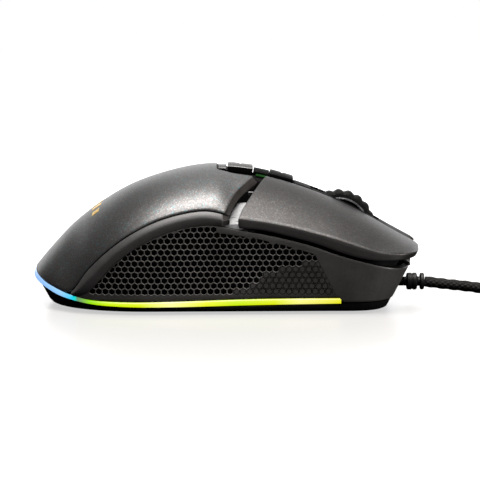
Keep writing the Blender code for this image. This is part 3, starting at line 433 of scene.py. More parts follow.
def strap_fabric():
    """Woven strap with a hooked face."""
    look = Look("strap_black", (0.025, 0.025, 0.027), 0.85)
    weave = look.cells(1500.0, "Distance")
    look.set("Base Color", look.ramp(weave, ((0.1, (0.04, 0.04, 0.042)), (0.6, (0.012, 0.012, 0.013)))))
    look.set("Roughness", look.math("MULTIPLY_ADD", look.noise(500.0), 0.16, 0.76))
    look.set("Sheen Weight", 0.35)
    look.bump(weave, 0.15, 0.8)
    return look.material


def circuit_board():
    """Green solder resist over fine copper tracks."""
    look = Look("board_tracks", (0.012, 0.1, 0.045), 0.4)
    tracks = look.cells(220.0, "Distance", "DISTANCE_TO_EDGE")
    copper = look.ramp(tracks, ((0.04, (0.03, 0.2, 0.09)), (0.08, (0.01, 0.09, 0.04))), False)
    pads = look.ramp(look.cells(420.0), ((0.06, (0.6, 0.5, 0.25)), (0.1, (1.0, 1.0, 1.0))), False)
    look.set("Base Color", look.blend(1.0, copper, pads, "MULTIPLY"))
    look.set("Roughness", look.math("MULTIPLY_ADD", look.noise(300.0), 0.15, 0.32))
    look.bump(tracks, 0.03, 0.3)
    return look.material


def clear_plastic():
    """Clear lens plastic, slightly uneven."""
    look = Look("clear_lens", (0.85, 0.9, 0.9), 0.06)
    look.set("Transmission Weight", 0.85)
    look.set("Roughness", look.math("MULTIPLY_ADD", look.noise(120.0), 0.08, 0.03))
    look.bump(look.noise(200.0), 0.01, 0.3)
    return look.material


def gold_mark():
    """Gold foil with fine grain."""
    look = Look("mark_gold", (0.62, 0.42, 0.1), 0.4, 0.7)
    grain = look.noise(1500.0)
    look.set("Base Color", look.ramp(grain, ((0.3, (0.45, 0.28, 0.05)), (0.7, (0.75, 0.52, 0.16)))))
    look.bump(grain, 0.01, 0.5)
    return look.material


def make_looks():
    """Every material of the mouse, by name."""
    moulded_looks = {
        "skirt_rough": ((0.009, 0.008, 0.008), 0.6, 1300.0, 0.09, {"vary": 0.15, "gleam": 0.15}),
        "edge_brown": ((0.01, 0.008, 0.007), 0.5, 1800.0, 0.02, {"gleam": 0.3}),
        "brow_grey": ((0.045, 0.044, 0.044), 0.5, 2000.0, 0.012, 0.1, {}),
        "panel_grey": ((0.04, 0.038, 0.037), 0.4, 2000.0, 0.012, 0.1, {}),
        "case_black": ((0.004, 0.004, 0.004), 0.5, 1500.0, 0.02, {"gleam": 0.04}),
        # Painted highlight: a lighter copy of the panel's grey, for the chamfers round the honeycomb holes.
        "rib_painted_highlight": ((0.12, 0.115, 0.11), 0.36, 2000.0, 0.008, 0.2, {}),
        "lip_black": ((0.006, 0.006, 0.006), 0.5, 1500.0, 0.02, {"gleam": 0.2}),
        # Painted shade: near-black for the walls and bottoms of the honeycomb holes and for the grooves round
        # the raised tiles.
        "hole_painted_shade": ((0.008, 0.008, 0.008), 0.6, 1500.0, 0.02, {}),
        "thumb_black": ((0.01, 0.01, 0.01), 0.25, 2200.0, 0.004, {}),
        "key_black": ((0.004, 0.004, 0.004), 0.4, 2200.0, 0.003, {"gleam": 0.05}),
        # Painted highlight: a lighter, glossier copy of the black key plastic, for the lit tops of the plus
        # key and the spine's tongue.
        "key_top_painted_highlight": ((0.03, 0.029, 0.029), 0.3, 2200.0, 0.003, {"gleam": 0.9}),
        "spine_black": ((0.004, 0.004, 0.004), 0.5, 2200.0, 0.008, {"gleam": 0.02}),
        "frame_white": ((0.24, 0.245, 0.25), 0.45, 1500.0, 0.015, {"vary": 0.08}),
        "mark_white": ((0.85, 0.85, 0.85), 0.4, 1500.0, 0.01, {"vary": 0.05}),
        "tyre_rubber": ((0.004, 0.004, 0.004), 0.55, 1500.0, 0.04, {"gleam": 0.05}),
        "hub_gloss": ((0.03, 0.038, 0.05), 0.14, 2200.0, 0.003, 0.3, {"coat": 0.6}),
        "chip_black": ((0.02, 0.02, 0.021), 0.45, 1800.0, 0.02, {}),
        "plunger_white": ((0.78, 0.78, 0.75), 0.4, 1500.0, 0.01, {"vary": 0.06}),
        "foot_dark": ((0.035, 0.035, 0.038), 0.5, 900.0, 0.02, {"vary": 0.35}),
        "boot_rubber": ((0.005, 0.005, 0.005), 0.5, 1300.0, 0.03, {"gleam": 0.25}),
        "plug_black": ((0.018, 0.018, 0.019), 0.5, 1300.0, 0.03, {}),
        "contact_dark": ((0.03, 0.035, 0.045), 0.4, 1500.0, 0.01, {}),
        "strip_body": ((0.5, 0.55, 0.5), 0.35, 1500.0, 0.01, {}),
    }
    looks = {name: moulded(name, *values, **extra) for name, (*values, extra) in moulded_looks.items()}
    looks.update({
        "palm_flake": flake_plastic("palm_flake", (0.1, 0.097, 0.096), 0.42, 0.5),
        "button_flake": flake_plastic("button_flake", (0.048, 0.0455, 0.0445), 0.44, 0.12),
        "ring_chrome": brushed_metal("ring_chrome", (0.75, 0.77, 0.8), 0.3),
        "steel": brushed_metal("steel", (0.56, 0.57, 0.59), 0.3),
        "spring_steel": brushed_metal("spring_steel", (0.5, 0.51, 0.53), 0.3, (1800.0, 1800.0, 60.0)),
        "plug_nickel": brushed_metal("plug_nickel", (0.62, 0.63, 0.65), 0.26, (60.0, 1800.0, 1800.0)),
        "board_tracks": circuit_board(),
        "clear_lens": clear_plastic(),
        "braid": braid(),
        "strap": strap_fabric(),
        "strip_lit": lit_strip(),
        "green_glow": green_glow(),
        "mark_gold": gold_mark(),
    })
    return looks


# ---------------------------------------------------------------- objects from meshes


def from_bmesh(name, mesh, *looks, smooth=35):
    """Turns a bmesh in millimetres into an object in metres."""
    bmesh.ops.scale(mesh, vec=(MM, MM, MM), verts=mesh.verts)
    data = bpy.data.meshes.new(name)
    mesh.to_mesh(data)
    mesh.free()
    obj = bpy.data.objects.new(name, data)
    bpy.context.scene.collection.objects.link(obj)
    for look in looks:
        data.materials.append(LOOKS[look])
    smooth_by_angle(data, smooth)
    return obj


def smooth_by_angle(data, degrees):
    data.shade_smooth()
    data.set_sharp_from_angle(angle=math.radians(degrees))


def outward(mesh):
    bmesh.ops.recalc_face_normals(mesh, faces=mesh.faces)
    if mesh.calc_volume(signed=True) < 0:
        bmesh.ops.reverse_faces(mesh, faces=mesh.faces)


def finished(obj, body, slot, *nodes):
    """Lets a piece ride on its body and hides the CAD nodes that it stands for. The slot, which names its
    finish, is not used.
    """
    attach(obj, body)
    if nodes:
        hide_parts(*nodes)
    return obj


def apply_modifiers(obj):
    """Keeps the mesh that the modifiers make, and drops the modifiers."""
    graph = bpy.context.evaluated_depsgraph_get()
    data = bpy.data.meshes.new_from_object(obj.evaluated_get(graph))
    obj.modifiers.clear()
    obj.data = data
    return obj


def combine(obj, operation, *others):
    """Boolean with other objects, which are then removed."""
    for other in others:
        step = obj.modifiers.new(operation, "BOOLEAN")
        step.operation = operation
        step.solver = "EXACT"
        step.object = other
        step.material_mode = "TRANSFER"
    apply_modifiers(obj)
    for other in others:
        bpy.data.objects.remove(other, do_unlink=True)
    smooth_by_angle(obj.data, 35)
    return obj


def carve(obj, *cutters):
    return combine(obj, "DIFFERENCE", *cutters)


def loft(name, rings, *looks, smooth=35, endless=False):
    """Skin over closed rings of as many points each, capped at both ends or joined end to end."""
    mesh = bmesh.new()
    rows = [[mesh.verts.new(point) for point in ring] for ring in rings]
    count = len(rows[0])
    for row, after in zip(rows, rows[1:] + (rows[:1] if endless else [])):
        for i in range(count):
            j = (i + 1) % count
            mesh.faces.new((row[i], row[j], after[j], after[i]))
    if not endless:
        mesh.faces.new(rows[0])
        mesh.faces.new(rows[-1])
    outward(mesh)
    return from_bmesh(name, mesh, *looks, smooth=smooth)


def turned(name, profile, centre, axis, look, sides=48):
    """Solid of revolution from (radius, height) points, about an axis through the centre."""
    turn = {
        "X": Matrix.Rotation(math.pi / 2, 4, "Y"),
        "Y": Matrix.Rotation(-math.pi / 2, 4, "X"),
        "Z": Matrix.Identity(4),
    }[axis]
    rings = []
    for radius, height in profile:
        ring = []
        for i in range(sides):
            angle = math.tau * i / sides
            spot = Vector((radius * math.cos(angle), radius * math.sin(angle), height))
            ring.append(turn @ spot + Vector(centre))
        rings.append(ring)
    return loft(name, rings, look)


def prism(name, outline, axis, low, high, look=None):
    """Flat outline extruded along X (outline in y, z), Y (x, z) or Z (x, y)."""
    place = {
        "X": lambda a, b, level: (level, a, b),
        "Y": lambda a, b, level: (a, level, b),
        "Z": lambda a, b, level: (a, b, level),
    }[axis]
    rings = [[place(a, b, level) for a, b in outline] for level in (low, high)]
    return loft(name, rings, *([look] if look else []), smooth=20)


def box(name, low, high, look=None, bevel=0.0):
    outline = ((low[0], low[1]), (high[0], low[1]), (high[0], high[1]), (low[0], high[1]))
    made = prism(name, outline, "Z", low[2], high[2], look)
    if bevel:
        rounded = made.modifiers.new("rounded", "BEVEL")
        rounded.width = bevel * MM
        rounded.segments = 3
        rounded.limit_method = "ANGLE"
        apply_modifiers(made)
        smooth_by_angle(made.data, 35)
    return made


def shell(name, grid, wall, rim, looks, bands=None, shift=None):
    """Closed sheet with rounded edges over a grid of outer points.

    looks are the outside's material, then the edges' and the inside's. bands gives another
    material to rows of the grid, and shift moves the inner edge of the last column.
    """
    spots = np.array(grid, float)
    normals = np.cross(np.gradient(spots, axis=0), np.gradient(spots, axis=1))
    normals /= np.maximum(np.linalg.norm(normals, axis=2, keepdims=True), 1e-9)
    hint = spots - np.array([0.0, 0.0, 10.0])
    hint[..., 1] *= 0.3
    if (normals * hint).sum() < 0:
        normals = -normals
    depth = np.zeros(spots.shape[:2])
    band = np.zeros(spots.shape[1], int) if bands is None else np.array(bands, int)
    for axis in (0, 1):
        spots, normals, depth = (np.swapaxes(a, 0, axis) for a in (spots, normals, depth))
        parts = []
        for end, near in ((0, 1), (-1, -2)):
            step = spots[near] - spots[end]
            size = np.maximum(np.linalg.norm(step, axis=1, keepdims=True), 1e-9)
            reach = np.minimum(rim, 0.45 * size)
            lines = [
                (spots[end], depth[end] + rim),
                (spots[end] + step / size * reach * 0.3, depth[end] + rim * 0.3),
                (spots[end] + step / size * reach, depth[end]),
            ]
            parts.append((lines, normals[end]))
        first, last = parts
        rows = first[0] + [(spots[i], depth[i]) for i in range(1, len(spots) - 1)] + last[0][::-1]
        facing = [first[1]] * 3 + [normals[i] for i in range(1, len(spots) - 1)] + [last[1]] * 3
        spots = np.array([row[0] for row in rows])
        depth = np.array([row[1] for row in rows])
        normals = np.array(facing)
        if axis == 1:
            band = np.concatenate([[band[0]] * 3, band[1:-1], [band[-1]] * 3])
        spots, normals, depth = (np.swapaxes(a, 0, axis) for a in (spots, normals, depth))
    outside = spots - depth[..., None] * normals
    inside = spots - wall * normals
    if shift is not None:
        inside[-1] += np.array(shift)
    mesh = bmesh.new()
    outer = [[mesh.verts.new(p) for p in line] for line in outside]
    inner = [[mesh.verts.new(p) for p in line] for line in inside]
    n, m = len(outer), len(outer[0])
    for i in range(n - 1):
        for j in range(m - 1):
            face = mesh.faces.new((outer[i][j], outer[i + 1][j], outer[i + 1][j + 1], outer[i][j + 1]))
            face.material_index = int(min(band[j], band[j + 1]))
            face = mesh.faces.new((inner[i][j], inner[i][j + 1], inner[i + 1][j + 1], inner[i + 1][j]))
            face.material_index = 1
    loop = [(i, 0) for i in range(n)] + [(n - 1, j) for j in range(1, m)]
    loop += [(i, m - 1) for i in range(n - 2, -1, -1)] + [(0, j) for j in range(m - 2, 0, -1)]
    for (a, b), (c, d) in zip(loop, loop[1:] + loop[:1]):
        face = mesh.faces.new((outer[a][b], inner[a][b], inner[c][d], outer[c][d]))
        face.material_index = 1
    outward(mesh)
    return from_bmesh(name, mesh, *looks)


# ---------------------------------------------------------------- the form


def read_line(points, y):
    """Value at y of a smooth curve through (y, value) points."""
    ys = [p[0] for p in points]
    vs = [p[1] for p in points]
    if y <= ys[0]:
        return vs[0]
    if y >= ys[-1]:
        return vs[-1]
    i = max(k for k in range(len(ys) - 1) if ys[k] <= y)
    slopes = []
    for k in (i, i + 1):
        before, after = max(k - 1, 0), min(k + 1, len(ys) - 1)
        slopes.append((vs[after] - vs[before]) / (ys[after] - ys[before]))
    span = ys[i + 1] - ys[i]
    t = (y - ys[i]) / span
    return (
        vs[i] * (2 * t**3 - 3 * t**2 + 1)
        + slopes[0] * span * (t**3 - 2 * t**2 + t)
        + vs[i + 1] * (3 * t**2 - 2 * t**3)
        + slopes[1] * span * (t**3 - t**2)
    )


def spread(start, end, gaps):
    """Even steps from start to end, both included."""
    return [start + (end - start) * i / gaps for i in range(gaps + 1)]


def line_points(points, start, end, gaps, lift=0.0):
    return [(y, read_line(points, y) + lift) for y in spread(start, end, gaps)]


def ease(value):
    value = min(max(value, 0.0), 1.0)
    return value * value * (3 - 2 * value)


def plan_half(y, front_y):
    """Half width of the form's plan at y: a rounded tail and a squarer nose."""
    half = read_line(HALF_WIDTH, y)
    if y < REAR_ROUND_Y:
        part = (REAR_ROUND_Y - y) / (REAR_ROUND_Y - REAR_Y)
        half *= max(1 - part**REAR_POWER, 0.0) ** (1 / REAR_POWER)
    if y > FRONT_ROUND_Y:
        part = (y - FRONT_ROUND_Y) / (front_y - FRONT_ROUND_Y)
        half *= max(1 - part**FRONT_POWER, 0.0) ** (1 / FRONT_POWER)
    return half


def section(y, front_y=BUTTON_TIP_Y, drop=SHELL_DROP):
    """Heights and widths of the form's right half at y."""
    half = plan_half(y, front_y)
    wide = half / WIDEST_HALF
    forward = ease((y + 4) / 8)
    shoulder, under = read_line(SHOULDER, y), read_line(UNDER, y)
    return SimpleNamespace(
        half=half,
        forward=forward,
        crown=read_line(CROWN, y) - drop * ease((y + 6) / 8),
        shoulder=shoulder,
        under=under,
        ridge=under + (0.55 - 0.33 * forward) * (shoulder - under),
        shoulder_x=half - (1.5 - 1.0 * forward) * wide,
        under_x=half - (1.0 - 0.5 * forward) * wide,
        foot_x=half - 2.4 * wide,
    )


def side_x(s, z):
    """Half width of the side at height z, from the foot up to the shoulder."""
    if z <= s.under:
        t = max(z - 1.0, 0.0) / (s.under - 1.0)
        return s.foot_x + (s.under_x - s.foot_x) * t * (1.57 - 0.57 * t)
    if z <= s.ridge:
        return s.under_x + (s.half - s.under_x) * (z - s.under) / (s.ridge - s.under)
    return s.half + (s.shoulder_x - s.half) * (z - s.ridge) / (s.shoulder - s.ridge)


def dome(s, t):
    """Point (x, z) of the dome, from the shoulder at 0 to the crown at 1."""
    rise = s.crown - s.shoulder
    steep = (s.shoulder_x * (0.93 - 0.15 * s.forward), s.shoulder + rise * (0.46 - 0.06 * s.forward))
    flat = (s.shoulder_x * 0.5, s.crown)
    return tuple(
        (1 - t) ** 3 * a + 3 * t * (1 - t) ** 2 * b + 3 * t * t * (1 - t) * c + t**3 * d
        for a, b, c, d in zip((s.shoulder_x, s.shoulder), steep, flat, (0.0, s.crown))
    )


def bisect(test, low=0.0, high=1.0):
    """Place between low and high where the test turns true."""
    for _ in range(30):
        middle = (low + high) / 2
        if test(middle):
            high = middle
        else:
            low = middle
    return (low + high) / 2


def dome_at_x(s, x):
    return bisect(lambda t: dome(s, t)[0] < x)


def dome_at_z(s, z):
    return bisect(lambda t: dome(s, t)[1] > z)


def across(points, z):
    """The y of a line of (y, z) points at height z, past its ends too."""
    flipped = sorted((b, a) for a, b in points)
    for (z0, y0), (z1, y1) in zip(flipped, flipped[1:]):
        if z <= z1 or (z1, y1) == flipped[-1]:
            return y0 + (y1 - y0) * (z - z0) / (z1 - z0)
    return flipped[-1][1]


def lean(y, z):
    """The case's y at height z: its front slants forward as it rises."""
    return y + CASE_LEAN * ease((y - FRONT_ROUND_Y) / (CASE_FRONT_Y - FRONT_ROUND_Y)) * (z - CASE_LEAN_Z)


def sine_steps(start, end, first, last, count):
    """Steps from start towards end, closer together near the end."""
    angles = spread(math.radians(first), math.radians(last), count - 1)
    return [start + (end - start) * math.sin(angle) for angle in angles]


# ---------------------------------------------------------------- shells


def palm_line(y, low, rows):
    """Points of the palm's right half at one y, from a height up to the crown."""
    s = section(y)
    return [(x, y, z) for x, z in (dome(s, t) for t in spread(dome_at_z(s, low(s)), 1.0, rows - 1))]


def palm_cover():
    """Dome from the tail to the gap behind the buttons, with a notch for the spine's head."""
    rows, settled_y = 25, -8.0

    def edge(s):
        return s.shoulder + 0.15

    stations = sine_steps(REAR_ROUND_Y, REAR_Y, 88.6, 0.0, 34) + spread(REAR_ROUND_Y, settled_y, 12)[1:]
    grid = []
    for y in stations:
        strip = read_line(STRIP_TOP, y) + SEAM_GAP
        grid.append(palm_line(y, lambda s: max(edge(s), strip), rows))
    fronts = []
    for k in range(rows):
        y = 0.0
        for _ in range(12):
            height = palm_line(y, edge, rows)[k][2]
            y = 0.5 * y + 0.5 * across(PALM_FRONT, min(height, 43.6))
        fronts.append(y)
    for i in range(1, 11):
        ys = [settled_y + (front - settled_y) * i / 10 for front in fronts]
        grid.append([palm_line(y, edge, rows)[k] for k, y in enumerate(ys)])
    full = [line + [(-x, y, z) for x, y, z in reversed(line[:-1])] for line in grid]
    cover = shell("palm_cover_shell", full, 2.0, 0.35, ("palm_flake", "edge_brown"), shift=(0.0, 1.9, 0.0))
    half = SPINE_HEAD_HALF + 0.4
    carve(cover, box("notch", (-half, -4.5, 20.0), (half, 30.0, 60.0), bevel=1.2))
    return finished(cover, "case", "palm_flake", "palm_cover")


def mirrored(grid, side):
    return [[(side * x, y, z) for x, y, z in line] for line in grid]


def brow_heights(y):
    """Heights of the brow's two faces at one place, from its lower to its upper edge."""
    s = section(y)
    low = max(s.under, read_line(STRIP_TOP, y) + SEAM_GAP)
    high = max(s.shoulder - 0.15, low + 0.3)
    fold = min(max(s.ridge, low + 0.1), high - 0.1)
    lower = [low + (fold - low) * part for part in (0.0, 0.5, 0.85)]
    return lower + [fold + (high - fold) * part for part in (0.12, 0.55, 1.0)]


def brow_band(name, side, stations, heights, wall, rim, lean_forward=0.0):
    """One stretch of brow whose heights come from a function of y."""
    grid = [[(side_x(section(y), z), y, z) for z in heights(y)] for y in stations]
    shift = (0.0, lean_forward, 0.0)
    band = shell(name, mirrored(grid, side), wall, rim, ("brow_grey", "edge_brown"), shift=shift)
    return finished(band, "case", "panel_grey", "right_side_panel" if side > 0 else "left_side_panel")


def right_brow():
    """Smooth two-faced band between the honeycomb and the palm cover."""
    stations = [BROW_REAR_Y + (BROW_FRONT_Y - BROW_REAR_Y) * part**0.9 for part in spread(0.0, 1.0, 63)]
    brow_band("right_brow", 1, stations, brow_heights, 1.8, 0.25, 2.0)


def left_brow():
    """The same band, framed round the two thumb keys."""
    (_, first, before), (_, after, last) = THUMB_KEYS
    first, before, after, last = first - KEY_GAP, before + KEY_GAP, after - KEY_GAP, last + KEY_GAP
    rear = [BROW_REAR_Y + (first - 0.2 - BROW_REAR_Y) * part**0.9 for part in spread(0.0, 1.0, 40)]
    brow_band("left_brow", -1, rear, brow_heights, 1.2, 0.2)
    brow_band("left_brow_front", -1, spread(last, BROW_FRONT_Y, 2), brow_heights, 1.2, 0.2, 1.3)
    brow_band("thumb_divider", -1, spread(before, after, 2), brow_heights, 0.8, 0.1)

    def under_keys(y):
        low = brow_heights(y)[0]
        return [low, low + 0.25, low + 0.5]

    def over_keys(y):
        high = brow_heights(y)[-1]
        return [high - 0.65, high - 0.3, high]

    brow_band("thumb_rail_low", -1, spread(first, last, 30), under_keys, 0.6, 0.1)
    brow_band("thumb_rail_top", -1, spread(first, last, 30), over_keys, 0.6, 0.1)


def clip(polygon, point, normal):
    """The part of a polygon on the inner side of a line."""
    kept = []
    for a, b in zip(polygon, polygon[1:] + polygon[:1]):
        da = (a[0] - point[0]) * normal[0] + (a[1] - point[1]) * normal[1]
        db = (b[0] - point[0]) * normal[0] + (b[1] - point[1]) * normal[1]
        if da <= 0:
            kept.append(a)
        if da * db < 0:
            t = da / (da - db)
            kept.append((a[0] + (b[0] - a[0]) * t, a[1] + (b[1] - a[1]) * t))
    return kept


def area(polygon):
    return abs(sum(a[0] * b[1] - b[0] * a[1] for a, b in zip(polygon, polygon[1:] + polygon[:1]))) / 2


def honeycomb_cells():
    """Hexagons, trimmed by the grille's outline, with how far each lies past the open area."""
    outline = list(GRILLE_TOP)
    cells = []
    for row in range(13):
        z = HEX_LOW_Z + row * HEX_ROW
        for column in range(40):
            y = HEX_FRONT_Y + HEX_PITCH * (1 - 0.5 * (row % 2) - column)
            polygon = outline
            for k in range(6):
                angle = math.radians(60 * k)
                facing = (math.cos(angle), math.sin(angle))
                polygon = clip(polygon, (y + HEX_APOTHEM * facing[0], z + HEX_APOTHEM * facing[1]), facing)
                if len(polygon) < 3:
                    break
            if len(polygon) >= 3 and area(polygon) > HEX_LEAST_AREA:
                cells.append((polygon, y - read_line(OPEN_LIMIT, z)))
    return cells


def wall_skin(y, z):
    """Half width of the case's side wall at a place in the side view."""
    return side_x(section(y, CASE_FRONT_Y), z)


def honeycomb_cutter(name, side):
    """One mesh of tapered holes, and of grooves round raised tiles where the wall stays closed. The holes'
    chamfers get a lighter grey as painted highlight; the holes' walls and bottoms and the grooves' bottoms
    get near-black as painted shade.
    """
    mesh = bmesh.new()
    for polygon, past in honeycomb_cells():
        mid_y, mid_z = (sum(p[i] for p in polygon) / len(polygon) for i in (0, 1))
        if past < 0.0:
            steps = ((0.6, 1.13), (-0.02, 1.13), (-0.22, 0.99), (-1.5, 0.95))
        elif past < BLIND_REACH:
            steps = ((0.6, 1.13), (-0.02, 1.13), (-0.22, 0.96), (-0.8, 0.9))
        else:
            steps = ((0.5, 1.15), (-0.35, 1.11), (-0.35, 0.95), (-0.02, 0.82), (0.5, 0.82))
        rings = []
        for offset, scale in steps:
            ring = []
            for y, z in polygon:
                x = side * (wall_skin(y, z) + offset)
                ring.append(mesh.verts.new((x, mid_y + (y - mid_y) * scale, mid_z + (z - mid_z) * scale)))
            rings.append(ring)
        tile = past >= BLIND_REACH
        if tile:
            rings.append(rings[0])
        else:
            mesh.faces.new(rings[0])
            # The hole's bottom gets the painted shade.
            mesh.faces.new(rings[-1]).material_index = 1
        for level, (one, two) in enumerate(zip(rings, rings[1:])):
            for i in range(len(polygon)):
                j = (i + 1) % len(polygon)
                face = mesh.faces.new((one[i], one[j], two[j], two[i]))
                # Material 0 is the painted highlight on the holes' chamfers, 1 the painted shade on hole
                # walls and groove bottoms, 2 the wall's own grey on the tiles.
                face.material_index = (1 if level == 1 else 2) if tile else int(level > 1)
    outward(mesh)
    return from_bmesh(name, mesh, "rib_painted_highlight", "hole_painted_shade", "panel_grey")


def side_wall(label, side):
    """Wall from the light strip up to the brow, with its honeycomb, and on round the front corner."""
    stations = spread(-47.6, FRONT_ROUND_Y, 62) + sine_steps(FRONT_ROUND_Y, CASE_FRONT_Y, 3.0, 78.4, 26)
    grid = []
    for y in stations:
        s = section(y, CASE_FRONT_Y)
        low = CASE_BOTTOM_Z if y > STRIP_END_Y else read_line(STRIP_TOP, y) + SEAM_GAP
        grid.append([(side_x(s, z), lean(y, z), z) for z in spread(low, s.under, 16)])
    wall = shell(f"{label}_side_wall", mirrored(grid, side), 1.8, 0.3, ("panel_grey", "case_black"))
    carve(wall, honeycomb_cutter(f"{label}_cells", side))
    return finished(wall, "case", "panel_grey", f"{label}_side_panel")


def nose():
    """Front face between the two side walls, with the opening for the cable's boot."""
    s = section(CASE_FRONT_Y - 0.6, CASE_FRONT_Y)
    grid = []
    for x in spread(-NOSE_HALF, NOSE_HALF, 40):
        line = []
        for z in spread(CASE_BOTTOM_Z, NOSE_TOP_Z, 12):
            wide = 31.6 * side_x(s, min(z, s.under)) / s.half
            part = (1 - (abs(x) / wide) ** FRONT_POWER) ** (1 / FRONT_POWER)
            line.append((x, lean(FRONT_ROUND_Y + (CASE_FRONT_Y - FRONT_ROUND_Y) * part, z), z))
        grid.append(line)
    front = shell("nose_front", grid, 1.8, 0.3, ("panel_grey", "case_black"))
    carve(front, turned("boot_hole", ((1.9, -9.0), (1.9, 9.0)), (0.0, 55.0, BOOT_Z), "Y", "case_black", 32))
    return finished(front, "case", "case_black", "front_bezel")


def inner_lip(label, side):
    """Dark lip inside the case that closes the view under the button's skirt."""
    stations = spread(6.0, FRONT_ROUND_Y, 16) + sine_steps(FRONT_ROUND_Y, CASE_FRONT_Y - 4.0, 4.0, 76.0, 16)
    grid = []
    for y in stations:
        s = section(y, CASE_FRONT_Y - 3.4)
        high = min(s.shoulder - 1.9, s.under + 3.4)
        grid.append([(side_x(s, z) - 3.4, lean(y, z), z) for z in spread(s.under - 3.0, high, 4)])
    lip = shell(f"{label}_inner_lip", mirrored(grid, side), 1.0, 0.2, ("lip_black", "lip_black"))
    return finished(lip, "case", "case_black", f"{label}_side_panel")


def strip_rings():
    """Cross sections of the light strip, from its right end round the tail to its left end."""
    right = [(plan_half(y, BUTTON_TIP_Y) - 1.6, y) for y in spread(STRIP_END_Y, STRIP_END_Y - 58.0, 29)]
    for y in sine_steps(REAR_ROUND_Y, REAR_Y, 3.0, 87.5, 30):
        angle = math.asin((REAR_ROUND_Y - y) / (REAR_ROUND_Y - REAR_Y))
        half = max(plan_half(y, BUTTON_TIP_Y) - 1.6 * math.cos(angle), 0.1)
        right.append((half, y - STRIP_PROUD * (1 - math.cos(angle))))
    path = right + [(0.0, REAR_Y - STRIP_PROUD)] + [(-x, y) for x, y in reversed(right)]
    rings = []
    for i, (x, y) in enumerate(path):
        before, after = path[max(i - 1, 0)], path[min(i + 1, len(path) - 1)]
        along = Vector((after[0] - before[0], after[1] - before[1])).normalized()
        inward = Vector((-along.y, along.x))
        if inward.dot(Vector((-x, -10.0 - y))) < 0:
            inward = -inward
        ring = []
        for depth, share in STRIP_FACE:
            spot = (x + inward.x * depth, y + inward.y * depth)
            low, high = read_line(STRIP_BOTTOM, spot[1]), read_line(STRIP_TOP, spot[1])
            ring.append((*spot, low + share * (high - low)))
        rings.append(ring)
    return rings


def light_strip():
    """Light guide round both sides and the tail: only its outer face shines."""
    strip = loft("light_guide", strip_rings(), "strip_lit", "strip_body", smooth=50)
    for face in strip.data.polygons:
        face.material_index = int(any(v % 9 in (0, 8) for v in face.vertices))
    return finished(strip, "case", "diffuser", "light_strip")


def plan_ring(z, rear_y, front_y, half, count=144):
    """Closed outline in plan at one height."""
    points = []
    for i in range(count):
        angle = math.tau * (i + 0.5) / count
        side, along = math.cos(angle), math.sin(angle)
        power = FRONT_POWER if along > 0 else REAR_POWER
        x = half * math.copysign(abs(side) ** (2 / power), side)
        reach = front_y - FRONT_ROUND_Y if along > 0 else REAR_ROUND_Y - rear_y
        start = FRONT_ROUND_Y if along > 0 else REAR_ROUND_Y
        y = start + math.copysign(abs(along) ** (2 / power), along) * reach
        points.append((x * read_line(HALF_WIDTH, y) / WIDEST_HALF, y, z))
    return points


def base_tray():
    """Bottom tray whose slanted rim stops just under the light strip."""
    outer = [
        plan_ring(FLOOR_LOW_Z, BASE_REAR_Y + 0.5, BASE_FRONT_Y - 0.4, 29.8),
        plan_ring(FLOOR_LOW_Z + 0.25, BASE_REAR_Y, BASE_FRONT_Y + 0.1, 30.4),
        plan_ring(FLOOR_LOW_Z + 1.0, BASE_REAR_Y - 0.7, BASE_FRONT_Y + 0.5, 31.0),
        plan_ring(8.0, BASE_REAR_Y - 4.2, BASE_FRONT_Y + 3.6, 31.4),
        plan_ring(12.0, BASE_REAR_Y - 6.4, BASE_FRONT_Y + 5.6, 31.4),
    ]
    inner = [
        plan_ring(2.5, BASE_REAR_Y + 1.4, BASE_FRONT_Y - 1.4, 29.3),
        plan_ring(8.0, BASE_REAR_Y - 2.4, BASE_FRONT_Y + 1.6, 29.6),
        plan_ring(13.0, BASE_REAR_Y - 5.2, BASE_FRONT_Y + 4.0, 29.6),
    ]
    tray = loft("base_tray", outer, "case_black", smooth=28)
    over_nose = CASE_BOTTOM_Z - SEAM_GAP
    above = line_points(STRIP_BOTTOM, -66.0, STRIP_END_Y, 59, -SEAM_GAP)
    above += [(STRIP_END_Y + 0.5, over_nose), (70.0, over_nose), (70.0, 20.0), (-66.0, 20.0)]
    cutters = [loft("tray_hollow", inner), prism("above_tray", above, "X", -40.0, 40.0)]
    cutters.append(box("lens_window", (-5.0, -6.0, -1.0), (5.0, 4.0, 4.0)))
    for i, place in enumerate(SCREWS):
        for radius, low, high, sides in ((2.7, -1.0, 2.2, 32), (1.5, 0.0, 4.0, 24)):
            hole = ((radius, low), (radius, high))
            cutters.append(turned(f"screw_hole_{i}", hole, (*place, 0.0), "Z", "case_black", sides))
    carve(tray, *cutters)
    return finished(tray, "case", "case_black", "base_shell")


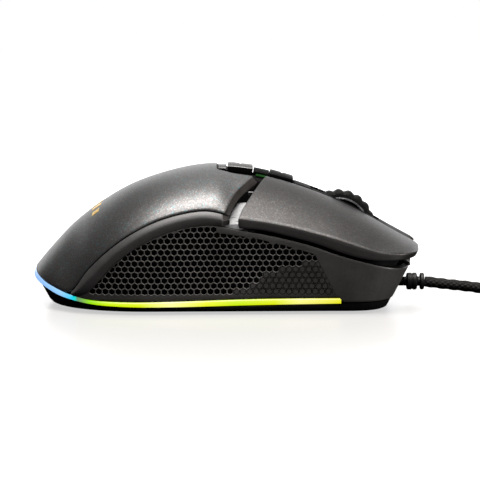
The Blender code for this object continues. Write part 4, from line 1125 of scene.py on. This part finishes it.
def main_button(label, side):
    """Button shell: flaked top, a crisp crease and a coarser skirt that hangs over the case."""
    last = bisect(lambda y: section(y).shoulder_x < BUTTON_INNER_X + 1.0, 55.0, BUTTON_TIP_Y)
    shares = spread(0.0, 2.0, 60)
    tip_angle = math.degrees(math.asin((last - FRONT_ROUND_Y) / (BUTTON_TIP_Y - FRONT_ROUND_Y)))
    tops = 24

    def spot(y, row):
        s = section(y)
        if row < 4:
            low = max(read_line(SKIRT_BOTTOM, y), s.under + 0.2)
            z = low + (s.shoulder - 0.35 - low) * row / 3
            return side_x(s, z), z
        edge = dome_at_x(s, BUTTON_INNER_X)
        start = min(0.02, edge * 0.5)
        return dome(s, start + (edge - start) * (row - 4) / tops)

    rears = []
    for row in range(5 + tops):
        y = 6.0
        for _ in range(14):
            y = 0.5 * y + 0.5 * across_rear(spot(y, row)[1])
        rears.append(y)
    grid = []
    for share in shares:
        line = []
        for row in range(5 + tops):
            if share <= 1.0:
                y = rears[row] + (FRONT_ROUND_Y - rears[row]) * share
            else:
                angle = math.radians((share - 1.0) * tip_angle)
                y = FRONT_ROUND_Y + (BUTTON_TIP_Y - FRONT_ROUND_Y) * math.sin(angle)
            x, z = spot(y, row)
            tuck = 0.5 * ease((y - 50.0) / 10.0) * max(20.6 - z, 0.0)
            line.append((x, y - tuck, z))
        grid.append(line)
    bands = [2] * 4 + [0] * (1 + tops)
    looks = ("button_flake", "edge_brown", "skirt_rough")
    button = shell(f"{label}_button_shell", mirrored(grid, side), 1.8, 0.3, looks, bands)
    x = side * 15.0
    post = box("post", (x - 1.6, 43.5, 16.7), (x + 1.6, 46.5, 25.4), "edge_brown", bevel=0.2)
    combine(button, "UNION", post)
    return finished(button, f"{label}_button", "button_grey", f"{label}_main_button")


def across_rear(z):
    """The y of the button's rear edge at height z."""
    if z < BUTTON_REAR[1][1]:
        (y0, z0), (y1, z1) = BUTTON_REAR[:2]
        return y0 + (y1 - y0) * (z - z0) / (z1 - z0)
    return across(BUTTON_REAR[1:], z)


# ---------------------------------------------------------------- spine, keys and wheel


def crown_patch(name, span, start, end, drop, wall, rim, looks, columns=12, steps=16, bow=0.0):
    """Plate that follows the crown between two x and two y, with extra fall to its sides."""
    low, high = span if isinstance(span, tuple) else (-span, span)
    grid = []
    for y in spread(start, end, steps):
        s = section(y, BUTTON_TIP_Y, 0.0)
        line = []
        for x in spread(low, high, columns):
            z = dome(s, dome_at_x(s, abs(x)))[1] if abs(x) > 1e-6 else s.crown
            line.append((x, y, z - drop - bow * (x / KEY_HALF) ** 2))
        grid.append(line)
    return shell(name, grid, wall, rim, looks)


def centre_spine():
    """Black deck between the shells, with raised rails beside the wheel and an island for the keys."""
    looks = ("spine_black", "spine_black")
    deck = crown_patch("spine_deck", SPINE_HALF, 7.4, 58.5, SPINE_DROP, 1.4, 0.2, looks, 10, 40)
    head = crown_patch("spine_head", SPINE_HEAD_HALF, -4.1, SPINE_HEAD_Y, SPINE_DROP, 1.4, 0.2, looks)
    combine(deck, "UNION", head)
    wells = []
    for label, start, end, _ in KEYS:
        wells.append(box(f"{label}_well", (-5.1, start - 0.8, 20.0), (5.1, end + 0.25, 60.0)))
    carve(deck, *wells)
    rails = crown_patch("spine_rails", SPINE_HALF, 20.75, 58.4, 1.25, 1.6, 0.3, looks, 10, 36)
    # The tongue's top wears the keys' painted highlight, a lighter copy of the black plastic.
    tongue_looks = ("key_top_painted_highlight", "spine_black")
    tongue = crown_patch("spine_tongue", 4.6, -3.9, -1.4, 0.3, 2.6, 0.3, tongue_looks, bow=KEY_BOW)
    bridge = crown_patch("spine_bridge", 4.6, 7.6, 12.6, 0.4, 2.4, 0.3, looks, bow=KEY_BOW)
    chin_top = read_line(CROWN, 57.5) - SPINE_DROP - 0.5
    chin = box("spine_chin", (-SPINE_HALF, 56.9, 12.5), (SPINE_HALF, 58.3, chin_top), "spine_black")
    combine(deck, "UNION", rails, tongue, bridge, chin)
    low, high = WHEEL_Y - 9.5, WHEEL_Y + 13.0
    cutters = [box("wheel_slot", (-SLOT_HALF, low, 0.0), (SLOT_HALF, high, 60.0), bevel=1.0)]
    for side in (-1, 1):
        ends = sorted((side * 5.6, side * 7.4))
        cutters.append(box("window_bed", (ends[0], 21.2, 36.5), (ends[1], 26.4, 60.0)))
    carve(deck, *cutters)
    return finished(deck, "case", "key_black", "centre_spine")


def glow_windows():
    """Low windows beside the keys' island that let the inner light out."""
    looks = ("green_glow", "spine_black")
    places = (("rear", 4.8, 6.8, 8.2, 12.4, 1.7), ("front", 5.65, 6.85, 21.3, 26.3, 1.95))
    for label, near, far, start, end, drop in places:
        for side in (-1, 1):
            span = tuple(sorted((side * near, side * far)))
            name = f"glow_window_{label}_{'right' if side > 0 else 'left'}"
            finished(crown_patch(name, span, start, end, drop, 0.8, 0.2, looks, 4, 6), "case", "diffuser")


def mark_bar(name, half_x, start, end, rise):
    """Thin white bar on top of a key."""
    looks = ("mark_white", "mark_white")
    return crown_patch(name, half_x, start, end, -rise - 0.06, 0.3, 0.04, looks, 4, 4, KEY_BOW)


def spine_keys():
    """Two bowed keys marked with a plain plus and a plain minus."""
    for label, start, end, rise in KEYS:
        # The plus key's top gets the painted highlight; the minus key keeps the plain black plastic.
        top, stem_low = {"plus": ("key_top_painted_highlight", 38.9), "minus": ("key_black", 36.3)}[label]
        looks = (top, "key_black")
        key = crown_patch(f"{label}_key", KEY_HALF, start, end, -rise, 2.0, 0.3, looks, 12, 10, KEY_BOW)
        middle = (start + end) / 2
        stem_high = read_line(CROWN, middle) - 1.0
        stem = box("stem", (-1.6, middle - 1.6, stem_low), (1.6, middle + 1.6, stem_high), "key_black")
        combine(key, "UNION", stem)
        finished(key, f"dpi_{label}", "key_black", f"dpi_{label}_button")
        mark = mark_bar(f"{label}_mark", 1.7, middle - 0.28, middle + 0.28, rise)
        finished(mark, f"dpi_{label}", "frame_white")
    start, end, rise = KEYS[0][1:]
    middle = (start + end) / 2
    upright = mark_bar("plus_mark_upright", 0.28, middle - 1.7, middle + 1.7, rise)
    finished(upright, "dpi_plus", "frame_white")


def gold_bars():
    """Five plain gold bars across the tail of the palm cover."""
    for k, length in enumerate((2.2, 3.0, 3.8, 3.0, 2.2)):
        middle = 5.4 * (k - 2)
        grid = []
        for y in spread(GOLD_Y - length / 2, GOLD_Y + length / 2, 6):
            s = section(y)
            xs = spread(middle - 1.4, middle + 1.4, 4)
            grid.append([(x, y, dome(s, dome_at_x(s, abs(x)))[1] + 0.06) for x in xs])
        finished(shell(f"palm_mark_{k}", grid, 0.3, 0.04, ("mark_gold", "mark_gold")), "case", "palm_flake")


def thumb_keys():
    """Two thumb keys that stand a little proud of the left brow."""
    for label, start, end in THUMB_KEYS:
        grid = []
        for y in spread(start, end, 20):
            s = section(y)
            heights = spread(s.under + 1.3, s.shoulder - 1.3, 8)
            swell = [0.35 * math.sin(angle) for angle in spread(0.0, math.pi, 8)]
            grid.append([(-side_x(s, z) - more, y, z) for z, more in zip(heights, swell)])
        key = shell(f"thumb_{label}_key", grid, 1.1, 0.35, ("thumb_black", "thumb_black"))
        finished(key, f"thumb_{label}", "key_black", f"side_button_{label}")


def scroll_wheel():
    """Ribbed rubber tyre, bright rings and a glossy dished hub."""
    steps = TREAD_LUMPS * 12
    half = ((-3.9, 1.3, 0.3), (-3.6, 0.7, 0.6), (-3.0, 0.3, 0.8), (-1.5, 0.05, 0.9), (0.0, 0.0, 0.9))
    tread = half + tuple((-x, drop, depth) for x, drop, depth in reversed(half[:-1]))
    rings = []
    for x, drop, depth in tread:
        ring = []
        for i in range(steps):
            angle = math.tau * i / steps
            wave = 0.5 + 0.5 * math.cos(TREAD_LUMPS * angle)
            radius = WHEEL_R - drop - 0.75 * depth * (1 - wave**0.6)
            ring.append((x, WHEEL_Y + radius * math.cos(angle), WHEEL_Z + radius * math.sin(angle)))
        rings.append(ring)
    tyre = loft("tyre_ribbed", rings, "tyre_rubber", smooth=50)
    centre = (0.0, WHEEL_Y, WHEEL_Z)
    carve(tyre, turned("tyre_bore", ((9.55, -6.0), (9.55, 6.0)), centre, "X", "tyre_rubber", 96))
    finished(tyre, "wheel", "tyre_rubber", "wheel_tyre")
    face = ((1.5, 3.3), (2.4, 3.3), (2.7, 3.0), (7.2, 2.2), (8.2, 2.6), (8.8, 3.0))
    profile = face + tuple((radius, -height) for radius, height in reversed(face))
    finished(turned("hub_dished", profile, centre, "X", "hub_gloss", 96), "wheel", "hub_gloss", "wheel_hub")
    for side, label in ((1, "right"), (-1, "left")):
        lip = [(9.45, 2.4), (9.5, 3.9), (9.35, 4.15), (9.1, 4.2), (8.9, 4.1), (8.85, 3.8), (8.85, 2.4)]
        lip = [(radius, side * height) for radius, height in lip]
        ring = turned(f"ring_{label}", lip + lip[:1], centre, "X", "ring_chrome", 96)
        finished(ring, "wheel", "ring_chrome", f"wheel_ring_{label}")


# ---------------------------------------------------------------- cable


def spline(a, b, c, d, t):
    """Catmull-Rom point between b and c."""
    return 0.5 * (2 * b + (c - a) * t + (2 * a - 5 * b + 4 * c - d) * t**2 + (3 * b - a - 3 * c + d) * t**3)


def smooth_route(points, step):
    """Points about a step apart on a smooth curve through the route's points."""
    ends = [Vector(p) for p in points]
    padded = [ends[0] * 2 - ends[1]] + ends + [ends[-1] * 2 - ends[-2]]
    path = [ends[0]]
    for a, b, c, d in zip(padded, padded[1:], padded[2:], padded[3:]):
        pieces = max(1, round((c - b).length / step))
        path += [spline(a, b, c, d, t) for t in spread(0.0, 1.0, pieces)[1:]]
    return path


def coil_turns():
    """Turns laid outer to inner and back again, one layer on another, from the table up."""
    radii = [COIL_RADIUS + COIL_PITCH * (k - (COIL_COLUMNS - 1) / 2) for k in range(COIL_COLUMNS)]
    places = []
    for layer in range(COIL_LAYERS):
        order = radii if layer % 2 else radii[::-1]
        places += [(radius, COIL_LOW_Z + COIL_PITCH * (layer + 0.5)) for radius in order]
    outside = 29.2
    places = [(outside, places[0][1])] + places + [(outside, places[-1][1] - 0.1)]
    turns = len(places) - 2
    path = []
    for i in range(turns * COIL_TURN_STEPS + 1):
        turn, part = divmod(i / COIL_TURN_STEPS, 1.0)
        k = int(turn) + 1
        if k > turns:
            k, part = turns, 1.0
        here, after = places[k], places[k + 1]
        slide = ease((part - 0.84) / 0.16)
        radius = here[0] + (after[0] - here[0]) * slide
        height = here[1] + (after[1] - here[1]) * slide
        if k == 1:
            radius += (outside - here[0]) * (1 - ease(part / 0.16))
        angle = math.tau * part
        path.append(Vector((radius * math.cos(angle), COIL_CENTRE_Y + radius * math.sin(angle), height)))
    return path


def tube_mesh(name, path, radius, look, sides=12, lumps=0.0):
    """Tube along a path whose surface swells with the braid, and which carries a UV map of it."""
    mesh = bmesh.new()
    lay = mesh.loops.layers.uv.new("lay")
    forward = [(path[min(i + 1, len(path) - 1)] - path[max(i - 1, 0)]).normalized() for i in range(len(path))]
    up = Vector((0.0, 0.0, 1.0))
    frame_up = (up - forward[0] * up.dot(forward[0])).normalized()
    travelled = 0.0
    rings, runs = [], []
    for i, spot in enumerate(path):
        if i:
            travelled += (spot - path[i - 1]).length
            turn = forward[i - 1].rotation_difference(forward[i])
            frame_up = turn @ frame_up
            frame_up = (frame_up - forward[i] * frame_up.dot(forward[i])).normalized()
        side = forward[i].cross(frame_up)
        run = travelled / (radius * 2.2)
        ring = []
        for k in range(sides):
            angle = math.tau * k / sides
            swell = math.sin(2 * angle + math.pi * run) * math.sin(2 * angle - math.pi * run)
            reach = radius * (1.0 - lumps + lumps * abs(swell) * 2)
            ring.append(mesh.verts.new(spot + (frame_up * math.cos(angle) + side * math.sin(angle)) * reach))
        rings.append(ring)
        runs.append(run)
    for row in range(len(rings) - 1):
        for k in range(sides):
            j = (k + 1) % sides
            face = mesh.faces.new((rings[row][k], rings[row][j], rings[row + 1][j], rings[row + 1][k]))
            corners = ((k, row), (k + 1, row), (k + 1, row + 1), (k, row + 1))
            for loop, (around, along) in zip(face.loops, corners):
                loop[lay].uv = (around / sides, runs[along])
    mesh.faces.new(rings[0])
    mesh.faces.new(rings[-1])
    outward(mesh)
    return from_bmesh(name, mesh, look, smooth=60)


def usb_cable():
    """Whole cable: out of the boot, along the table, twelve turns of coil, and on to the plug."""
    coil = coil_turns()
    start = smooth_route(CABLE_ROUTE + (tuple(coil[0]),), 0.9)
    end = smooth_route((tuple(coil[-1]),) + LEAD_ROUTE, 0.9)
    path = start[:-1] + coil + end[1:]
    cable = tube_mesh("usb_cable", path, CABLE_D / 2, "braid", lumps=0.06)
    finished(cable, "case", "braid", "cable", "cable_coil", "cable_lead")
    return cable, [point * MM for point in path]


def boot():
    """Stepped rubber boot held by the nose's opening."""
    profile = (
        (1.2, 50.3), (1.5, 50.4), (1.5, 57.6), (2.5, 57.8), (2.8, 58.1), (2.8, 59.3), (2.55, 59.45),
        (2.55, 59.7), (2.8, 59.85), (2.8, 60.8), (2.5, 61.1), (1.7, 61.3), (1.55, 61.5), (1.55, 62.0),
        (2.5, 62.2), (2.75, 62.4), (2.75, 63.2), (2.5, 63.45), (1.6, 63.5),
    )
    made = turned("cable_boot", profile, (0.0, 0.0, BOOT_Z), "Y", "boot_rubber", 40)
    return finished(made, "case", "boot_rubber", "strain_relief")


def tie():
    """Strap that holds the coil's turns together."""
    half_wide = COIL_COLUMNS * COIL_PITCH / 2 + 0.9
    low, high = 0.35, COIL_LOW_Z + COIL_LAYERS * COIL_PITCH + 0.7
    corner, reach = 2.2, 0.3
    middle = (COIL_RADIUS * math.cos(TIE_ANGLE), COIL_CENTRE_Y + COIL_RADIUS * math.sin(TIE_ANGLE), 0.0)
    turn = Matrix.Translation(middle) @ Matrix.Rotation(TIE_ANGLE, 4, "Z")
    half_face = ((-3.0, -0.5), (-3.0, 0.5), (-2.7, 1.0), (2.7, 1.0))
    face = half_face + tuple((-along, -deep) for along, deep in half_face)
    rings = []
    for side, top, start in CORNERS:
        middle_x = side * (half_wide - corner)
        middle_z = high - corner if top > 0 else low + corner
        for angle in spread(math.radians(start), math.radians(start + 90), 6):
            ring = []
            for along, deep in face:
                far = corner + deep * reach
                spot = Vector((middle_x + far * math.cos(angle), along, middle_z + far * math.sin(angle)))
                ring.append(turn @ spot)
            rings.append(ring)
    made = loft("coil_strap", rings, "strap", smooth=40, endless=True)
    return finished(made, "case", "tie_fabric", "cable_tie")


def rounded_ring(x, half_y, half_z, corner):
    """Rounded rectangle in the plane across the plug."""
    ring = []
    for side, top, start in CORNERS:
        for angle in spread(math.radians(start), math.radians(start + 90), 6):
            y = side * (half_y - corner) + corner * math.cos(angle)
            z = top * (half_z - corner) + corner * math.sin(angle)
            ring.append((x, PLUG_Y + y, PLUG_Z + z))
    return ring


def plug_box(name, back, front, half_y, half_z, look=None, middle_y=0.0, bevel=0.0):
    """Box on the plug's axis, between two distances behind the plug's front."""
    y = PLUG_Y + middle_y
    low = (PLUG_FRONT_X - back, y - half_y, PLUG_Z - half_z)
    high = (PLUG_FRONT_X - front, y + half_y, PLUG_Z + half_z)
    return box(name, low, high, look, bevel)


def plug():
    """Moulded grip with finger grooves and a short neck, round a bent metal shell."""
    sizes = [
        (-0.1, 2.1, 2.1, 2.0), (3.0, 2.5, 2.5, 2.3), (3.2, 3.2, 2.9, 2.3), (5.4, 5.6, 3.6, 2.2),
        (8.0, 7.4, 4.0, 2.0),
    ]
    for groove in spread(9.5, 18.3, 4):
        sizes += [(groove, 7.8, 4.0, 1.8), (groove + 0.5, 7.45, 3.8, 1.8)]
        sizes += [(groove + 1.0, 7.45, 3.8, 1.8), (groove + 1.5, 7.8, 4.0, 1.8)]
    sizes += [(27.4, 7.8, 4.0, 1.8), (28.0, 7.3, 3.6, 1.4)]
    rings = [rounded_ring(PLUG_FRONT_X - back, *size) for back, *size in sizes]
    grip = loft("plug_grip_moulded", rings, "plug_black")
    carve(grip, plug_box("socket", 29.0, 25.0, 6.3, 2.55))
    finished(grip, "case", "plug_black", "plug_grip")
    metal = plug_box("plug_shell_bent", 40.0, 25.4, 6.0, 2.25, "plug_nickel", bevel=0.5)
    cutters = [plug_box("hollow", 41.0, 26.4, 5.6, 1.85, bevel=0.3)]
    for y in (-3.2, 3.2):
        cutters.append(plug_box("latch_hole", 34.6, 32.2, 1.1, 4.0, middle_y=y))
    carve(metal, *cutters)
    finished(metal, "case", "plug_metal", "plug_shell")
    return [grip, metal]


# ---------------------------------------------------------------- looks of the CAD pieces that stay


def dress_cad_nodes():
    """Gives each CAD node that still shows its finished material."""
    plain = {
        "frame_white": ("inner_frame", "wheel_carrier"),
        "steel": ("wheel_axle", "case_screw_1", "case_screw_2", "case_screw_3", "case_screw_4"),
        "spring_steel": ("wheel_return_spring",),
        "board_tracks": ("main_board", "dpi_board", "side_board"),
        "chip_black": (
            "sensor_chip", "controller_chip", "right_switch", "left_switch", "wheel_switch",
            "dpi_plus_switch", "dpi_minus_switch", "side_switch_rear", "side_switch_front",
            "wheel_emitter", "wheel_receiver",
        ),
        "plunger_white": (
            "cable_header", "strip_led_rear", "strip_led_right", "strip_led_left",
            "right_plunger", "left_plunger",
        ),
        "clear_lens": ("sensor_lens",),
        "foot_dark": ("foot_front", "foot_rear", "foot_ring"),
        "contact_dark": ("plug_tongue",),
    }
    for look, names in plain.items():
        for name in names:
            for slot in NODES[name].material_slots:
                slot.material = LOOKS[look]


# ---------------------------------------------------------------- build

camera()
studio()
table_top()
LOOKS = make_looks()
cable, cable_path = usb_cable()
boot_piece = boot()
strap = tie()
plug_pieces = plug()
palm_cover()
for label, side in (("right", 1), ("left", -1)):
    side_wall(label, side)
    inner_lip(label, side)
    main_button(label, side)
right_brow()
left_brow()
nose()
light_strip()
base_tray()
centre_spine()
glow_windows()
spine_keys()
gold_bars()
thumb_keys()
scroll_wheel()
dress_cad_nodes()
